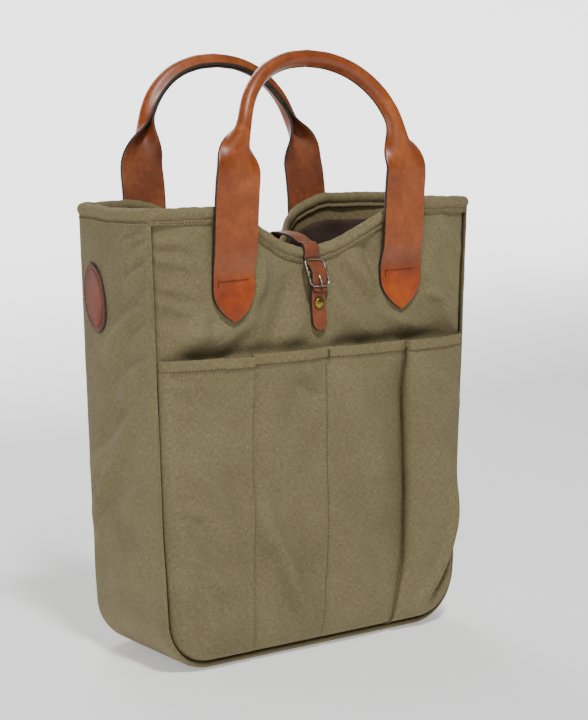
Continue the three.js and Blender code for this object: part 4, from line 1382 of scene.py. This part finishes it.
def make_closure():
    """The four leather pieces of the closure strap, from its anchor to its pull tab."""
    anchor = strip_mesh("closure_anchor_leather", ANCHOR_LINE, CLOSURE_WIDTH, 7.0)
    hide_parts("closure_anchor")
    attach(anchor, "root")
    bridge = strip_mesh("closure_strap_leather", BRIDGE_LINE, CLOSURE_WIDTH)
    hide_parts("closure_strap")
    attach(bridge, "closure_strap")
    woven = ((0, -2.6), (5.5, -0.4), (10, 2.0), (BUCKLE_BAR, 2.7), (16.5, 1.6), (20, -0.2),
             (23.5, -1.9), (BUCKLE_LENGTH, -2.5), (31, -2.3))
    billet_line = [BRIDGE_LINE[-1], (-42, 346.4), (-45.6, 344), (-46.6, 339.5)]
    billet_line += [at_buckle(down, out) for down, out in woven]
    billet = strip_mesh("closure_billet_leather", billet_line, CLOSURE_WIDTH, 5.0)
    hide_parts("closure_billet")
    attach(billet, "closure_end")
    tab_line = [at_buckle(16, -2.2), at_buckle(20, -3.4), at_buckle(24, -4.8), (-55.8, 308.5),
                (-55.9, 297), (-56.7, 289), (-59.3, 274)]
    tab = strip_mesh("snap_tab_leather", tab_line, CLOSURE_WIDTH - 1, 7.0, 12.0, 5.0)
    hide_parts("snap_tab")
    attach(tab, "closure_end")


def make_snap():
    """The press stud: cap and socket on the pull tab, post on the front panel."""
    cap = disc_mesh("snap_cap_brass", (0, -56.7, SNAP_Z), FRONT, CAP_PROFILE, BRASS)
    socket = disc_mesh("snap_socket_brass", (0, -54.75, SNAP_Z), (0, 1.0, 0), SOCKET_PROFILE, BRASS)
    post = disc_mesh("snap_post_brass", (0, -51.5, SNAP_Z), FRONT, POST_PROFILE, BRASS)
    for piece, node, body in ((cap, "snap_cap", "closure_end"), (socket, "snap_socket", "closure_end"),
                              (post, "snap_post", "root")):
        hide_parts(node)
        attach(piece, body)


def make_hole_shade_disc():
    """The spare punched hole above the buckle, drawn as a dark disc on the strap: painted shade for the
    inside of the hole.
    """
    hole = disc_mesh("strap_hole_shade", HOLE_SHADE_PLACE, (0, -0.2, 0.98), HOLE_SHADE_PROFILE, EDGE, 20)
    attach(hole, "closure_end")


# ------------------------------------------------------------------ oval patch

PATCH_Y = 32.0
PATCH_Z = 304.0
PATCH_HALF = (18.3, 29.8)
PATCH_TURN = math.radians(12)
PATCH_SIDES = 72
PATCH_BORDER = 6    # first ring coloured dark: dyed edge and painted shade of the border groove
# Share of the oval's size and height above the canvas, in mm.
PATCH_RINGS = [(0.0, 1.75), (0.3, 1.75), (0.6, 1.75), (0.84, 1.75), (0.87, 1.5), (0.90, 1.75),
               (0.94, 1.75), (0.985, 1.45), (1.0, 0.8), (0.995, 0.2)]


def make_patch():
    """The stitched oval patch, which follows the left side of the bag."""
    angles = np.linspace(0, 2 * np.pi, PATCH_SIDES, endpoint=False)
    points = [patch_points(max(scale, 0.002), lift, angles) for scale, lift in PATCH_RINGS]
    faces = grid_faces(len(PATCH_RINGS), PATCH_SIDES, close_columns=True)
    # From PATCH_BORDER outwards the rings take the dark edge colour: the dyed edge and the painted
    # shade of the border groove.
    slots = np.repeat([int(r >= PATCH_BORDER) for r in range(len(PATCH_RINGS) - 1)], PATCH_SIDES)
    patch = new_object("oval_patch", np.concatenate(points), faces, [PATCH_LEATHER, EDGE], slots)
    fix_normals(patch)
    path = patch_points(0.80, 1.75, np.linspace(0, 2 * np.pi, PATCH_SIDES + 1))
    normals = np.tile([-1.0, 0.0, 0.0], (PATCH_SIDES + 1, 1))
    thread = stitch_mesh("thread", stitches_along(path, normals, 2.8), DARK_THREAD, 0.3)
    piece = join("oval_patch", [patch, thread])
    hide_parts("leather_patch")
    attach(piece, "root")


def patch_points(scale, lift, angles):
    """Points of one oval ring, laid on the bulging left side."""
    a = PATCH_HALF[0] * scale * np.cos(angles)
    b = PATCH_HALF[1] * scale * np.sin(angles)
    y = PATCH_Y + a * math.cos(PATCH_TURN) + b * math.sin(PATCH_TURN)
    z = PATCH_Z - a * math.sin(PATCH_TURN) + b * math.cos(PATCH_TURN)
    x = -(half_width(z) + side_offset(-half_width(z), y, z)) - lift
    return np.stack([x, y, z], axis=1)


# ------------------------------------------------------------------ studio

FLOOR_HALF = 6000
FLOOR_RISE = (2600, 2400)    # where the backdrop starts to rise, and how high it gets
CAMERA_PLACE = (-0.91797, -1.28447, 0.46526)
CAMERA_TARGET = (0.01568, 0.0, 0.24079)
CAMERA_LENS = 91.7
WORLD_STRENGTH = 0.19
# Name, place, target, size and power of each lamp, in metres and watts.
LAMPS = [
    ("key", (-0.35, -1.15, 2.25), (0, 0, 0.22), 0.35, 46),
    ("fill", (-1.6, -1.4, 0.9), (0, 0, 0.25), 0.8, 9),
    ("back", (0.5, 1.7, 1.7), (0, 0, 0.4), 1.2, 26),
]


def make_board():
    """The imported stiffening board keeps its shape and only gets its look."""
    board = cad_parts["base_board"]
    board.data.materials.clear()
    board.data.materials.append(BOARD)


def make_floor():
    """Pale paper that lies flat under the bag and rises behind it, and glows as painted light, more
    strongly further back.
    """
    n = Nodes("floor_paper_glowing")
    place = n.coordinates("Object")
    grain = n.noise(place, 300, 3.0)
    n.feed("Base Color", n.ramp(grain, [(0.3, (0.90, 0.90, 0.90)), (0.7, (0.93, 0.93, 0.93))]))
    split = n.add("ShaderNodeSeparateXYZ")
    n.link(place, split.inputs["Vector"])
    # Painted light: the paper itself glows, faintly under the bag and strongly up the backdrop.
    n.feed("Emission Strength", n.map(split.outputs["Y"], 0.9, 3.0, 0.34, 2.6))
    n.set(Roughness=0.9, Specular_IOR_Level=0.1)
    n.shader.inputs["Emission Color"].default_value = (1, 1, 1, 1)
    x = np.linspace(-FLOOR_HALF, FLOOR_HALF, 25)[None, :]
    t = np.linspace(0, 1, 40)[:, None]
    y = -FLOOR_HALF + 2 * FLOOR_HALF * t
    z = FLOOR_RISE[1] * smooth(y, FLOOR_RISE[0], FLOOR_HALF) - 0.3
    grid = np.stack([x + 0 * y, y + 0 * x, z + 0 * x], axis=2)
    floor = new_object("floor", grid.reshape(-1, 3), grid_faces(40, 25), [n.material], uv=arc_uv(grid))


def add_light(name, place, target, size, power):
    data = bpy.data.lights.new(name, "AREA")
    data.shape = "DISK"
    data.size = size
    data.energy = power
    lamp = bpy.data.objects.new(name, data)
    lamp.location = place
    lamp.rotation_euler = (Vector(target) - Vector(place)).to_track_quat("-Z", "Y").to_euler()
    bpy.context.scene.collection.objects.link(lamp)


def make_studio():
    """World light, three lamps and the photograph's camera."""
    world = bpy.data.worlds.new("studio")
    world.use_nodes = True
    background = world.node_tree.nodes["Background"]
    background.inputs["Color"].default_value = (1, 1, 1, 1)
    background.inputs["Strength"].default_value = WORLD_STRENGTH
    bpy.context.scene.world = world
    for lamp in LAMPS:
        add_light(*lamp)
    data = bpy.data.cameras.new("photo_camera")
    data.lens = CAMERA_LENS
    data.sensor_width = 36
    camera = bpy.data.objects.new("photo_camera", data)
    camera.location = CAMERA_PLACE
    look = Vector(CAMERA_TARGET) - camera.location
    camera.rotation_euler = look.to_track_quat("-Z", "Y").to_euler()
    bpy.context.scene.collection.objects.link(camera)
    bpy.context.scene.camera = camera


make_walls()
make_lining()
make_binding()
make_pocket()
make_handle("front")
make_handle("back")
make_closure()
make_snap()
make_hole_shade_disc()
make_buckle()
make_patch()
make_board()
make_floor()
make_studio()
